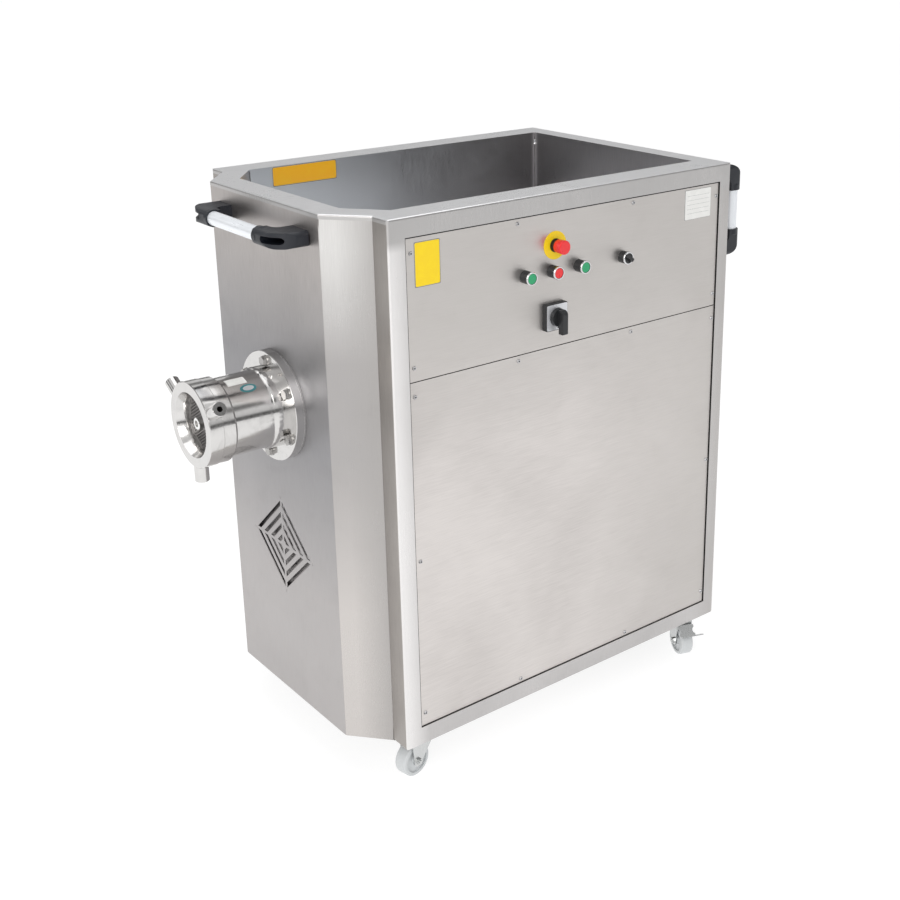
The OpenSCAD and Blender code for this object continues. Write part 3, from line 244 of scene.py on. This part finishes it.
M = {
    "sheet": brushed_steel("satin_sheet_steel", (0.57, 0.55, 0.535), 0.40, ALONG_Z),
    # Painted shade: the cover darker in a band across its middle, lighter again towards the bottom
    "cover": brushed_steel("satin_cover_steel", (0.50, 0.47, 0.455), 0.40, ALONG_Z, depth=0.03,
                           painted_light_fades=[fade("Z", 1050, 800, (0.325, 0.32, 0.33)),
                                  fade("Z", 650, 300, (0.465, 0.445, 0.44))]),
    # Painted light: a brighter copy of the cover steel, brightest at the top, with painted shade lower
    # down and towards the frame
    "slant": brushed_steel("bent_cover_steel_painted_light", (0.74, 0.73, 0.715), 0.34, ALONG_Z,
                           blotch=0.16, wave=0.35,
                           painted_light_fades=[fade("Z", 1080, 850, (0.42, 0.405, 0.40)),
                                  fade("Z", 650, 300, (0.60, 0.57, 0.55)),
                                  fade("X", -48, 10, (0.40, 0.385, 0.375))]),
    # Painted shade: the panels darker towards the right and towards the top
    "panel": brushed_steel("satin_panel_steel", (0.70, 0.665, 0.645), 0.42, ALONG_X, depth=0.03,
                           painted_light_fades=[fade("X", 450, 900, (0.57, 0.545, 0.525)),
                                  fade("Z", 650, 900, (0.60, 0.575, 0.555))]),
    # Painted highlight: the frame lighter near the left post; painted shade: darker towards the right
    # and along its top
    "frame": brushed_steel("brushed_frame_steel", (0.58, 0.565, 0.56), 0.33, ALONG_Z, wave=0.05,
                           painted_light_fades=[fade("X", 60, 10, (0.80, 0.785, 0.78)),
                                  fade("X", 860, 925, (0.49, 0.475, 0.465)),
                                  fade("Z", 1085, 1105, (0.50, 0.49, 0.485))]),
    # Painted shade: a darker copy of the frame steel for the left posts' narrow side
    "post_side": brushed_steel("shaded_frame_steel", (0.40, 0.375, 0.355), 0.36, ALONG_Z),
    # Painted shadow: a near-black copy of the steel for gaps, sockets and recesses that lie in shade
    "painted_shadow": brushed_steel("painted_shadow_steel", (0.025, 0.023, 0.022), 0.60, ALONG_X, metal=0.5),
    "edge": brushed_steel("polished_edge_steel", (0.86, 0.86, 0.86), 0.22, ALONG_X, depth=0.02),
    # Painted highlight: the hopper's rim in a bright copy of the sheet steel, as it reflects the light
    # from above
    "rim": brushed_steel("rim_steel_painted_highlight", (0.84, 0.84, 0.85), 0.34, ALONG_X),
    # Painted shade: the hopper's inner walls in a dark copy of the steel, with painted light growing
    # towards the left
    "inside": brushed_steel("hopper_inner_steel_painted_shade", (0.315, 0.305, 0.31), 0.38, ALONG_Z, depth=0.08,
                            painted_light_fades=[fade("X", 840, 370, (0.76, 0.78, 0.805))],
                            seams=[(SEAM_X, SEAM_Y0), (SEAM_X, SEAM_Y1)]),
    "weld": brushed_steel("weld_steel", (0.20, 0.19, 0.185), 0.36, ALONG_Y, depth=0.1, blotch=0.2),
    "head": machined_steel("turned_head_steel", (0.68, 0.67, 0.66), 0.13),
    "flange": machined_steel("turned_flange_steel", (0.60, 0.59, 0.58), 0.24),
    "screw": machined_steel("cast_screw_steel", (0.66, 0.65, 0.64), 0.30),
    "plate": machined_steel("ground_plate_steel", (0.26, 0.25, 0.245), 0.34),
    "drive": machined_steel("oiled_drive_steel", (0.42, 0.42, 0.43), 0.28),
    "bolt": machined_steel("bright_bolt_steel", (0.42, 0.41, 0.40), 0.22, "z"),
    "fastener": machined_steel("grey_screw_steel", (0.52, 0.52, 0.53), 0.30, "y"),
    "caster": brushed_steel("pressed_caster_steel", (0.64, 0.65, 0.65), 0.26, ALONG_Z, depth=0.02),
    "tube": brushed_steel("anodised_tube", (0.93, 0.96, 1.0), 0.36, ALONG_Y, depth=0.03, metal=0.4),
    "silver": brushed_steel("silver_plate", (0.78, 0.79, 0.82), 0.42, ALONG_X, depth=0.03, metal=0.8),
    "chrome": machined_steel("chrome_ring", (0.70, 0.70, 0.71), 0.10, "y"),
    "hub": machined_steel("polished_hub_steel_painted_highlight", (0.88, 0.88, 0.87), 0.12),
    "bracket": moulded("bracket_plastic", (0.008, 0.010, 0.016), 0.42, grain=0.18, scale=1400),
    "black": moulded("black_plastic", (0.014, 0.015, 0.017), 0.38, grain=0.10),
    "red": moulded("red_plastic", (0.78, 0.018, 0.022), 0.30, grain=0.03, wear=0.05, coat=0.2),
    "green": moulded("green_plastic", (0.010, 0.33, 0.13), 0.30, grain=0.03, wear=0.05, coat=0.2),
    "yellow": moulded("yellow_plastic", (0.90, 0.64, 0.004), 0.50, grain=0.03, wear=0.05),
    "orange": moulded("orange_foil", (1.0, 0.50, 0.015), 0.40, grain=0.02, wear=0.05, coat=0.2),
    "white": moulded("white_foil", (0.80, 0.80, 0.78), 0.40, grain=0.02, wear=0.05),
    "grey": moulded("grey_print", (0.22, 0.23, 0.24), 0.45, grain=0.02, wear=0.05),
    "teal": moulded("teal_foil", (0.05, 0.20, 0.22), 0.40, grain=0.02, wear=0.05),
    "wheel": moulded("wheel_polyamide", (0.60, 0.62, 0.63), 0.36, grain=0.05, wear=0.10),
    "seal": moulded("brown_seal", (0.20, 0.045, 0.03), 0.50),
    "rubber": rubber("black_rubber", (0.02, 0.02, 0.02)),
    "paint": painted("drive_paint", (0.09, 0.17, 0.28), 0.38),
}

FINISH = {
    "sheet": ["right_end_panel", "rear_panel", "base_plate", "gearbox_stand"],
    "cover": ["left_end_cover"],
    "panel": ["control_panel", "front_access_panel"],
    "frame": ["main_frame"],
    "rim": ["hopper"],
    "head": ["feed_barrel", "ring_nut"],
    "flange": ["mounting_ring"],
    "screw": ["feed_screw"],
    "plate": ["mincing_plate", "knife", "knife_stud"],
    "drive": ["drive_shaft", "output_gear", "intermediate_shaft", "motor_rotor", "gearbox_bearings"],
    "bolt": ["flange_bolts"],
    "fastener": ["panel_screws"],
    "caster": ["caster_plates", "front_brake_pedal", "rear_brake_pedal"],
    "tube": ["left_handle_tube", "right_handle_tubes"],
    "silver": ["electrical_box", "cam_switch_plate"],
    "bracket": ["handle_brackets"],
    "black": ["cable_gland", "motor_fan", "stop_collar", "forward_bezel", "halt_bezel", "reverse_bezel",
              "selector_bezel", "selector_knob", "cam_switch_body", "cam_switch_knob"],
    "red": ["stop_head", "halt_cap"],
    "green": ["forward_cap", "reverse_cap"],
    "yellow": ["stop_disc"],
    "seal": ["swivel_seals"],
    "rubber": ["shaft_seal"],
    "paint": ["gearbox_housing", "gearbox_cover", "motor_body", "fan_cowl"],
}
CORNERS = ["front_left", "front_right", "rear_left", "rear_right"]
FINISH["caster"] += [c + "_fork" for c in CORNERS]
FINISH["wheel"] = [c + "_wheel" for c in CORNERS]


def dress(node, material):
    """Gives all faces of a CAD node one material."""
    mesh = NODES[node].data
    mesh.materials.clear()
    mesh.materials.append(material)
    for poly in mesh.polygons:
        poly.material_index = 0


def paint_where(node, material, test):
    """Gives the faces of a CAD node whose middle and normal pass the test another material."""
    mesh = NODES[node].data
    mesh.materials.append(material)
    index = len(mesh.materials) - 1
    for poly in mesh.polygons:
        if test(poly.center, poly.normal):
            poly.material_index = index


for key, names in FINISH.items():
    for name in names:
        dress(name, M[key])

FACING = 0.9  # a normal's share along an axis from which a face counts as square to it

# Hopper: rim on top in a bright copy of the steel, a painted highlight; its turned-down lip like the
# frame; walls inside in a darker copy, painted shade
INNER_LO = body_point(-9, 72, 0) - Vector((MM, MM, 0))
INNER_HI = body_point(885, 640, 0) + Vector((MM, MM, 0))
RIM_THICK, LIP_H = 0.5 * MM, 12 * MM


def in_hopper(c):
    return INNER_LO.x < c.x < INNER_HI.x and INNER_LO.y < c.y < INNER_HI.y


def inner_wall(c, n):
    return in_hopper(c) and abs(n.z) < 0.98 and c.z < RIM_TOP - RIM_THICK


def outer_lip(c, n):
    return not in_hopper(c) and abs(n.z) < 0.6 and c.z > RIM_TOP - LIP_H


paint_where("hopper", M["inside"], inner_wall)
paint_where("hopper", M["frame"], outer_lip)
# End cover: the slanted sides get a brighter copy of the cover steel, painted light where they face the
# lamps
paint_where("left_end_cover", M["slant"], lambda c, n: n.x < -0.3 and abs(n.y) > 0.3)
# Frame: painted shade on the narrow side of the left posts; painted shadow, a near-black copy of the
# steel, behind the panels' edges and on the sides of the openings between the posts
GAP_DEPTH, POST_INSIDE = 4 * MM, 20 * MM
paint_where("main_frame", M["post_side"], lambda c, n: n.x < -FACING)
paint_where("main_frame", M["painted_shadow"], lambda c, n: n.y < -FACING and c.y > FRAME_LO.y + GAP_DEPTH)
paint_where("main_frame", M["painted_shadow"], lambda c, n: abs(n.x) > FACING
            and FRAME_LO.x + POST_INSIDE < c.x < FRAME_HI.x - POST_INSIDE)
# Painted shadow on the panels' edges, in the gap round them
for name in ("control_panel", "front_access_panel", "rear_panel"):
    paint_where(name, M["painted_shadow"], lambda c, n: abs(n.y) < 0.5)
# Mincing plate: hub in a bright, polished copy of the plate's steel, a painted highlight; ring nut:
# painted shadow in the sockets of the lugs
HUB_R, LUG_BORE_R, LUG_OUT = 13.2 * MM, 6.3 * MM, 90 * MM
LUG_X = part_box("ring_nut")[0].x + 15.5 * MM
LUG_TURNS = (60, 180, 300)


def in_lug_socket(c):
    for turn in LUG_TURNS:
        way = Vector((0, math.sin(math.radians(turn)), math.cos(math.radians(turn))))
        off = c - Vector((LUG_X, HEAD_Y, HEAD_Z))
        out = off.dot(way)
        if out > LUG_OUT and (off - way * out).length < LUG_BORE_R:
            return True
    return False


# Painted highlight: the plate's hub in a much brighter copy of its steel
paint_where("mincing_plate", M["hub"], lambda c, n: math.hypot(c.y - HEAD_Y, c.z - HEAD_Z) < HUB_R)
paint_where("ring_nut", M["painted_shadow"], lambda c, n: in_lug_socket(c))
# Screws: painted shadow in the hexagon sockets
SOCKET_BOTTOM, SCREW_SEAT = 1.5 * MM, 2.9 * MM


def in_screw_socket(c, n):
    depth = min(c.y - FRAME_LO.y, FRAME_HI.y - c.y)
    bottom = abs(n.y) > FACING and depth > SOCKET_BOTTOM
    return depth < SCREW_SEAT and (bottom or abs(n.y) < 0.1)


paint_where("panel_screws", M["painted_shadow"], in_screw_socket)
# Bezels: thin chrome front ring
RING_DEPTH = 3 * MM
for name in ("forward_bezel", "halt_bezel", "reverse_bezel", "selector_bezel"):
    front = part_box(name)[0].y
    paint_where(name, M["chrome"], lambda c, n, f=front: c.y < f + RING_DEPTH)

# ---------- softened edges ----------

BEVELS = {  # widths in millimetres
    "handle_brackets": 1.6, "cam_switch_knob": 1.2, "cam_switch_body": 0.8,
    "selector_knob": 0.7, "front_brake_pedal": 0.6, "rear_brake_pedal": 0.6, "flange_bolts": 0.5,
    "mounting_ring": 0.4, "feed_barrel": 0.5, "ring_nut": 0.4,
}


SAME_POINT = 0.01 * MM
SHARP = math.radians(35)
FULL_WEIGHT = 100


def soften(node, width, segments, method):
    """Rounds the edges picked by method; large faces keep their own normals."""
    weld = node.modifiers.new("weld", "WELD")
    weld.merge_threshold = SAME_POINT
    bevel = node.modifiers.new("bevel", "BEVEL")
    bevel.width = width
    bevel.segments = segments
    bevel.limit_method = method
    bevel.angle_limit = SHARP
    weighted = node.modifiers.new("weighted", "WEIGHTED_NORMAL")
    weighted.mode = "FACE_AREA"
    weighted.weight = FULL_WEIGHT
    weighted.keep_sharp = False


for name, width in BEVELS.items():
    soften(NODES[name], width * MM, segments=2, method="ANGLE")

# Bent corners of the end cover: only its upright edges are rounded. A nodes modifier gives these edges
# their bevel weight, so that the CAD mesh itself stays as it is.
BEND_R, BEND_NEAR = 7 * MM, 0.2 * MM
BEND_LINES = [body_point(x, y, 0) for x, y in ((-70, 132), (-70, 580), (0, 50), (0, 662))]


def weigh_edges(node, lines, near):
    """Sets the bevel weight of the edges whose two ends are both nearer than near to an upright line."""
    tree = bpy.data.node_groups.new("bend_weights", "GeometryNodeTree")
    for side in ("INPUT", "OUTPUT"):
        tree.interface.new_socket("Geometry", in_out=side, socket_type="NodeSocketGeometry")

    def step(kind, operation=None, *values):
        """Adds a node, with its operation and what goes into its first sockets."""
        made = tree.nodes.new(kind)
        if operation:
            made.operation = operation
        for socket, value in zip(made.inputs, values):
            if isinstance(value, bpy.types.NodeSocket):
                tree.links.new(value, socket)
            else:
                socket.default_value = value
        return made

    def number(operation, a, b):
        return step("ShaderNodeMath", operation, a, b).outputs[0]

    ends = step("GeometryNodeInputMeshEdgeVertices")
    flat = [step("ShaderNodeVectorMath", "MULTIPLY", ends.outputs[f"Position {i}"], (1, 1, 0)).outputs[0]
            for i in (1, 2)]
    nearest = None
    for line in lines:
        away = [step("ShaderNodeVectorMath", "DISTANCE", end, (line.x, line.y, 0)).outputs["Value"]
                for end in flat]
        both = number("MAXIMUM", *away)
        nearest = both if nearest is None else number("MINIMUM", nearest, both)
    weight = number("LESS_THAN", nearest, near)
    store = step("GeometryNodeStoreNamedAttribute")
    store.data_type = "FLOAT"
    store.domain = "EDGE"
    store.inputs["Name"].default_value = "bevel_weight_edge"
    value = next(s for s in store.inputs if s.name == "Value" and s.enabled)
    tree.links.new(step("NodeGroupInput").outputs[0], store.inputs["Geometry"])
    tree.links.new(weight, value)
    tree.links.new(store.outputs["Geometry"], step("NodeGroupOutput").inputs[0])
    node.modifiers.new("bend_weights", "NODES").node_group = tree


cover = NODES["left_end_cover"]
weigh_edges(cover, BEND_LINES, BEND_NEAR)
soften(cover, BEND_R, segments=4, method="WEIGHT")

# ---------- added pieces ----------


def add_mesh(name, verts, faces, material, smooth=True):
    """Adds a piece that is fixed to the machine's body."""
    mesh = bpy.data.meshes.new(name)
    mesh.from_pydata([tuple(v) for v in verts], [], faces)
    mesh.validate()
    piece = bpy.data.objects.new(name, mesh)
    bpy.context.scene.collection.objects.link(piece)
    mesh.materials.append(material)
    for poly in mesh.polygons:
        poly.use_smooth = smooth
    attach(piece, "machine")


def rounded_outline(w, h, r):
    """Points round a w by h rectangle with corners of radius r, centred on the origin."""
    steps = 6
    points = []
    for cx, cy, start in ((w / 2 - r, h / 2 - r, 0), (r - w / 2, h / 2 - r, 90),
                          (r - w / 2, r - h / 2, 180), (w / 2 - r, r - h / 2, 270)):
        for i in range(steps + 1):
            a = math.radians(start + 90 * i / steps)
            points.append((cx + r * math.cos(a), cy + r * math.sin(a)))
    return points


def flat_plate(name, centre, across, up, w, h, r, thick, material, slot):
    """A thin plate with rounded corners; across and up are unit vectors in its plane."""
    out = across.cross(up)
    outline = rounded_outline(w, h, r)
    n = len(outline)
    inset = 0.35 * MM
    rings = []
    for scale_in, level in ((0, 0), (0, thick - inset), (inset, thick)):
        k = (w - 2 * scale_in) / w, (h - 2 * scale_in) / h
        rings.append([centre + across * (x * k[0]) + up * (y * k[1]) + out * level for x, y in outline])
    verts = [v for ring in rings for v in ring]
    faces = [tuple(reversed(range(n))), tuple(range(2 * n, 3 * n))]
    for level in (0, 1):
        for i in range(n):
            j = (i + 1) % n
            faces.append((level * n + i, level * n + j, (level + 1) * n + j, (level + 1) * n + i))
    add_mesh(name, verts, faces, material, smooth=False)


RIGHT, UP = Vector((1, 0, 0)), Vector((0, 0, 1))


def on_panel(x, z):
    """A place on the front panel's face, in millimetres from the frame's corner."""
    p = body_point(x, 0, z)
    return Vector((p.x, PANEL_Y, p.z))


BORDER_THICK, FACE_THICK, RULE_THICK = 0.5 * MM, 0.7 * MM, 0.9 * MM


def bordered_plate(name, centre, w, h, r, border, face, slot):
    """A thin plate with a darker border round a raised blank face, sizes in millimetres."""
    size = w * MM, h * MM, r * MM
    inner = (w - border) * MM, (h - border) * MM, r * MM
    flat_plate(name + "_border", centre, RIGHT, UP, *size, BORDER_THICK, M["grey"], slot)
    flat_plate(name, centre, RIGHT, UP, *inner, FACE_THICK, face, slot)


bordered_plate("yellow_blank_plate", on_panel(91, 1053), 61, 90, 3, 3.0, M["yellow"], "yellow_plastic")
bordered_plate("hopper_blank_plate", body_point(197, 640, 1126), 169, 45, 4, 3.0, M["orange"],
               "yellow_plastic")
bordered_plate("rating_blank_plate", on_panel(836, 1068), 83, 68, 2, 1.0, M["white"], "silver_plate")
RULE_SIZE, RULE_PITCH = (70 * MM, 0.7 * MM, 0.2 * MM), 10
for i in range(5):
    flat_plate(f"rating_rule_{i}", on_panel(836, 1048 + RULE_PITCH * i), RIGHT, UP, *RULE_SIZE,
               RULE_THICK, M["grey"], "silver_plate")


def curved_patch(name, a0, a1, phi0, phi1, radius, thick, material, oval=False):
    """A thin patch on the barrel: a0 and a1 are distances from the end cover, phi is the angle
    round the barrel, 0 at the control side and 90 on top."""
    nu, nv = 14, 14
    verts, faces = [], []
    for level in (0, thick):
        for i in range(nu + 1):
            for j in range(nv + 1):
                u, v = 2 * i / nu - 1, 2 * j / nv - 1
                if oval:
                    u, v = u * math.sqrt(1 - v * v / 2), v * math.sqrt(1 - u * u / 2)
                a = (a0 + a1) / 2 + u * (a1 - a0) / 2
                phi = math.radians((phi0 + phi1) / 2 + v * (phi1 - phi0) / 2)
                r = radius + level
                verts.append(Vector((COVER_X - a * MM, HEAD_Y - r * MM * math.cos(phi),
                                     HEAD_Z + r * MM * math.sin(phi))))
    row = nv + 1
    base = (nu + 1) * row
    for i in range(nu):
        for j in range(nv):
            q = (i * row + j, i * row + j + 1, (i + 1) * row + j + 1, (i + 1) * row + j)
            faces.append(tuple(base + k for k in q))
            faces.append(tuple(reversed(q)))
    rim = ([i * row for i in range(nu)] + [nu * row + j for j in range(nv)]
           + [i * row + nv for i in range(nu, 0, -1)] + [j for j in range(nv, 0, -1)])
    for i, k in enumerate(rim):
        m = rim[(i + 1) % len(rim)]
        faces.append((k, m, base + m, base + k))
    add_mesh(name, verts, faces, material)


# Blank stickers on the barrel, just outside its surface
TAG_R = 83.55
curved_patch("barrel_white_tag", 85, 128, 65, 80, TAG_R, 0.3, M["white"])
curved_patch("barrel_teal_tag", 72, 108, 48, 62, TAG_R, 0.25, M["teal"], oval=True)
curved_patch("barrel_tag_middle", 78, 102, 51, 59, TAG_R + 0.15, 0.3, M["silver"],
             oval=True)


def bead(name, start, end, radius, lean, material, pitch=2.2 * MM):
    """A weld bead from start to end: a rippled half-round; lean is the direction it bulges to."""
    along = (end - start).normalized()
    side = along.cross(lean).normalized()
    length = (end - start).length
    rings = max(2, int(length / (pitch / 3)))
    arc = 7
    ripple, unevenness, flatness = 0.15, 0.08, 0.55
    verts, faces = [], []
    for i in range(rings + 1):
        t = i / rings
        p = start + along * (length * t)
        waver = unevenness * math.sin(9.1 * t + 1)
        r = radius * (1 + ripple * math.sin(2 * math.pi * length * t / pitch) + waver)
        for j in range(arc):
            a = math.pi * j / (arc - 1)
            verts.append(p + side * (r * math.cos(a)) + lean * (r * flatness * math.sin(a)))
    for i in range(rings):
        for j in range(arc):
            k = (j + 1) % arc
            faces.append((i * arc + j, i * arc + k, (i + 1) * arc + k, (i + 1) * arc + j))
    faces.append(tuple(range(arc)))
    faces.append(tuple(reversed(range(rings * arc, rings * arc + arc))))
    add_mesh(name, verts, faces, material)


# Weld beads up the hopper's inner corners: place of the corner, direction to the middle
WELD_LO, WELD_HI, WELD_R = 1002, 1146, 1.1 * MM
hopper_corners = [(885, 640, -1, -1), (885, 72, -1, 1), (56, 640, 0.38, -1), (56, 72, 0.38, 1),
                  (-9, 560, 1, -0.45), (-9, 152, 1, 0.45)]
for i, (x, y, lx, ly) in enumerate(hopper_corners):
    lean = Vector((lx, ly, 0)).normalized()
    inward = lean * 0.6 * MM
    bead(f"hopper_weld_{i}", body_point(x, y, WELD_LO) + inward, body_point(x, y, WELD_HI) + inward,
         WELD_R, lean, M["weld"])
bead("hopper_weld_blob", body_point(883.5, 638.5, 1120), body_point(883.5, 638.5, 1134), 3.2 * MM,
     Vector((-1, -1, 0)).normalized(), M["edge"], pitch=7 * MM)

# ---------- stage, lights, camera ----------


def make_floor():
    """A wide pale floor that gives off some light of its own, so that it stays white."""
    half = 30.0
    glow = 0.84
    corners = [(-half, -half, 0), (half, -half, 0), (half, half, 0), (-half, half, 0)]
    mesh = bpy.data.meshes.new("floor")
    mesh.from_pydata(corners, [], [(0, 1, 2, 3)])
    floor = bpy.data.objects.new("floor", mesh)
    bpy.context.scene.collection.objects.link(floor)
    s = Shade("pale_floor", (0.26, 0.26, 0.26), 0.7, Specular_IOR_Level=0.1,
              Emission_Color=(1, 1, 1, 1), Emission_Strength=glow)
    s.rough_from(s.ramp(s.noise(3, 3), 0.3, 0.7, 0.62, 0.78))
    mesh.materials.append(s.mat)


def area_light(name, place, target, size, power, color=(1, 1, 1)):
    data = bpy.data.lights.new(name, "AREA")
    data.energy = power
    data.color = color
    data.shape = "SQUARE"
    data.size = size
    light = bpy.data.objects.new(name, data)
    bpy.context.scene.collection.objects.link(light)
    light.location = place
    light.rotation_euler = (Vector(target) - Vector(place)).to_track_quat("-Z", "Y").to_euler()


def make_world():
    """Soft grey bands from the ground up for the steel to reflect, plain white for the camera."""
    world = bpy.data.worlds.new("studio")
    bpy.context.scene.world = world
    world.use_nodes = True
    tree = world.node_tree
    background = tree.nodes["Background"]
    coords = tree.nodes.new("ShaderNodeTexCoord")
    split = tree.nodes.new("ShaderNodeSeparateXYZ")
    ramp = tree.nodes.new("ShaderNodeValToRGB")
    tree.links.new(coords.outputs["Generated"], split.inputs[0])
    shift = tree.nodes.new("ShaderNodeMapRange")
    shift.inputs["From Min"].default_value = -1
    shift.inputs["From Max"].default_value = 1
    tree.links.new(split.outputs["Z"], shift.inputs["Value"])
    tree.links.new(shift.outputs["Result"], ramp.inputs["Fac"])
    # Height as a share, from straight down to straight up, and the grey there
    lowest, *between, highest = [
        (0.0, 0.80), (0.47, 0.62), (0.50, 0.14), (0.56, 0.10), (0.60, 0.82), (0.70, 0.95), (0.74, 0.25),
        (0.79, 0.22), (0.84, 1.0), (1.0, 0.75)]
    for element, (place, grey) in zip(ramp.color_ramp.elements, (lowest, highest)):
        element.position = place
        element.color = (grey, grey, grey, 1)
    for place, grey in between:
        element = ramp.color_ramp.elements.new(place)
        element.color = (grey, grey, grey, 1)
    path = tree.nodes.new("ShaderNodeLightPath")
    seen = tree.nodes.new("ShaderNodeBackground")
    seen.inputs["Color"].default_value = (1, 1, 1, 1)
    mix = tree.nodes.new("ShaderNodeMixShader")
    tree.links.new(ramp.outputs["Color"], background.inputs["Color"])
    background.inputs["Strength"].default_value = 0.85
    tree.links.new(path.outputs["Is Camera Ray"], mix.inputs[0])
    tree.links.new(background.outputs[0], mix.inputs[1])
    tree.links.new(seen.outputs[0], mix.inputs[2])
    tree.links.new(mix.outputs[0], tree.nodes["World Output"].inputs["Surface"])


def make_camera():
    """The photo's viewing angle, from a fit to the body's corners; angles in degrees."""
    data = bpy.data.cameras.new("camera")
    camera = bpy.data.objects.new("camera", data)
    bpy.context.scene.collection.objects.link(camera)
    place = Vector((-1.6963, -2.3770, 1.7837))
    yaw, pitch, roll = 39.026, -18.055, -0.339
    data.sensor_width = 36
    data.lens = 53.07
    data.shift_x, data.shift_y = -0.0833, -0.1111
    data.clip_end = 200
    turn = (Matrix.Rotation(math.radians(-yaw), 4, "Z")
            @ Matrix.Rotation(math.radians(90 + pitch), 4, "X")
            @ Matrix.Rotation(math.radians(roll), 4, "Z"))
    camera.matrix_world = Matrix.Translation(place) @ turn
    bpy.context.scene.camera = camera


make_floor()
make_world()
area_light("key", (-3.6, -3.0, 3.0), target=(0, 0, 0.6), size=3.6, power=120, color=(1, 0.985, 0.97))
area_light("top", (0.2, 0.6, 4.4), target=(0, 0, 1.2), size=4.0, power=50)
make_camera()
bpy.context.scene.view_settings.view_transform = "Standard"
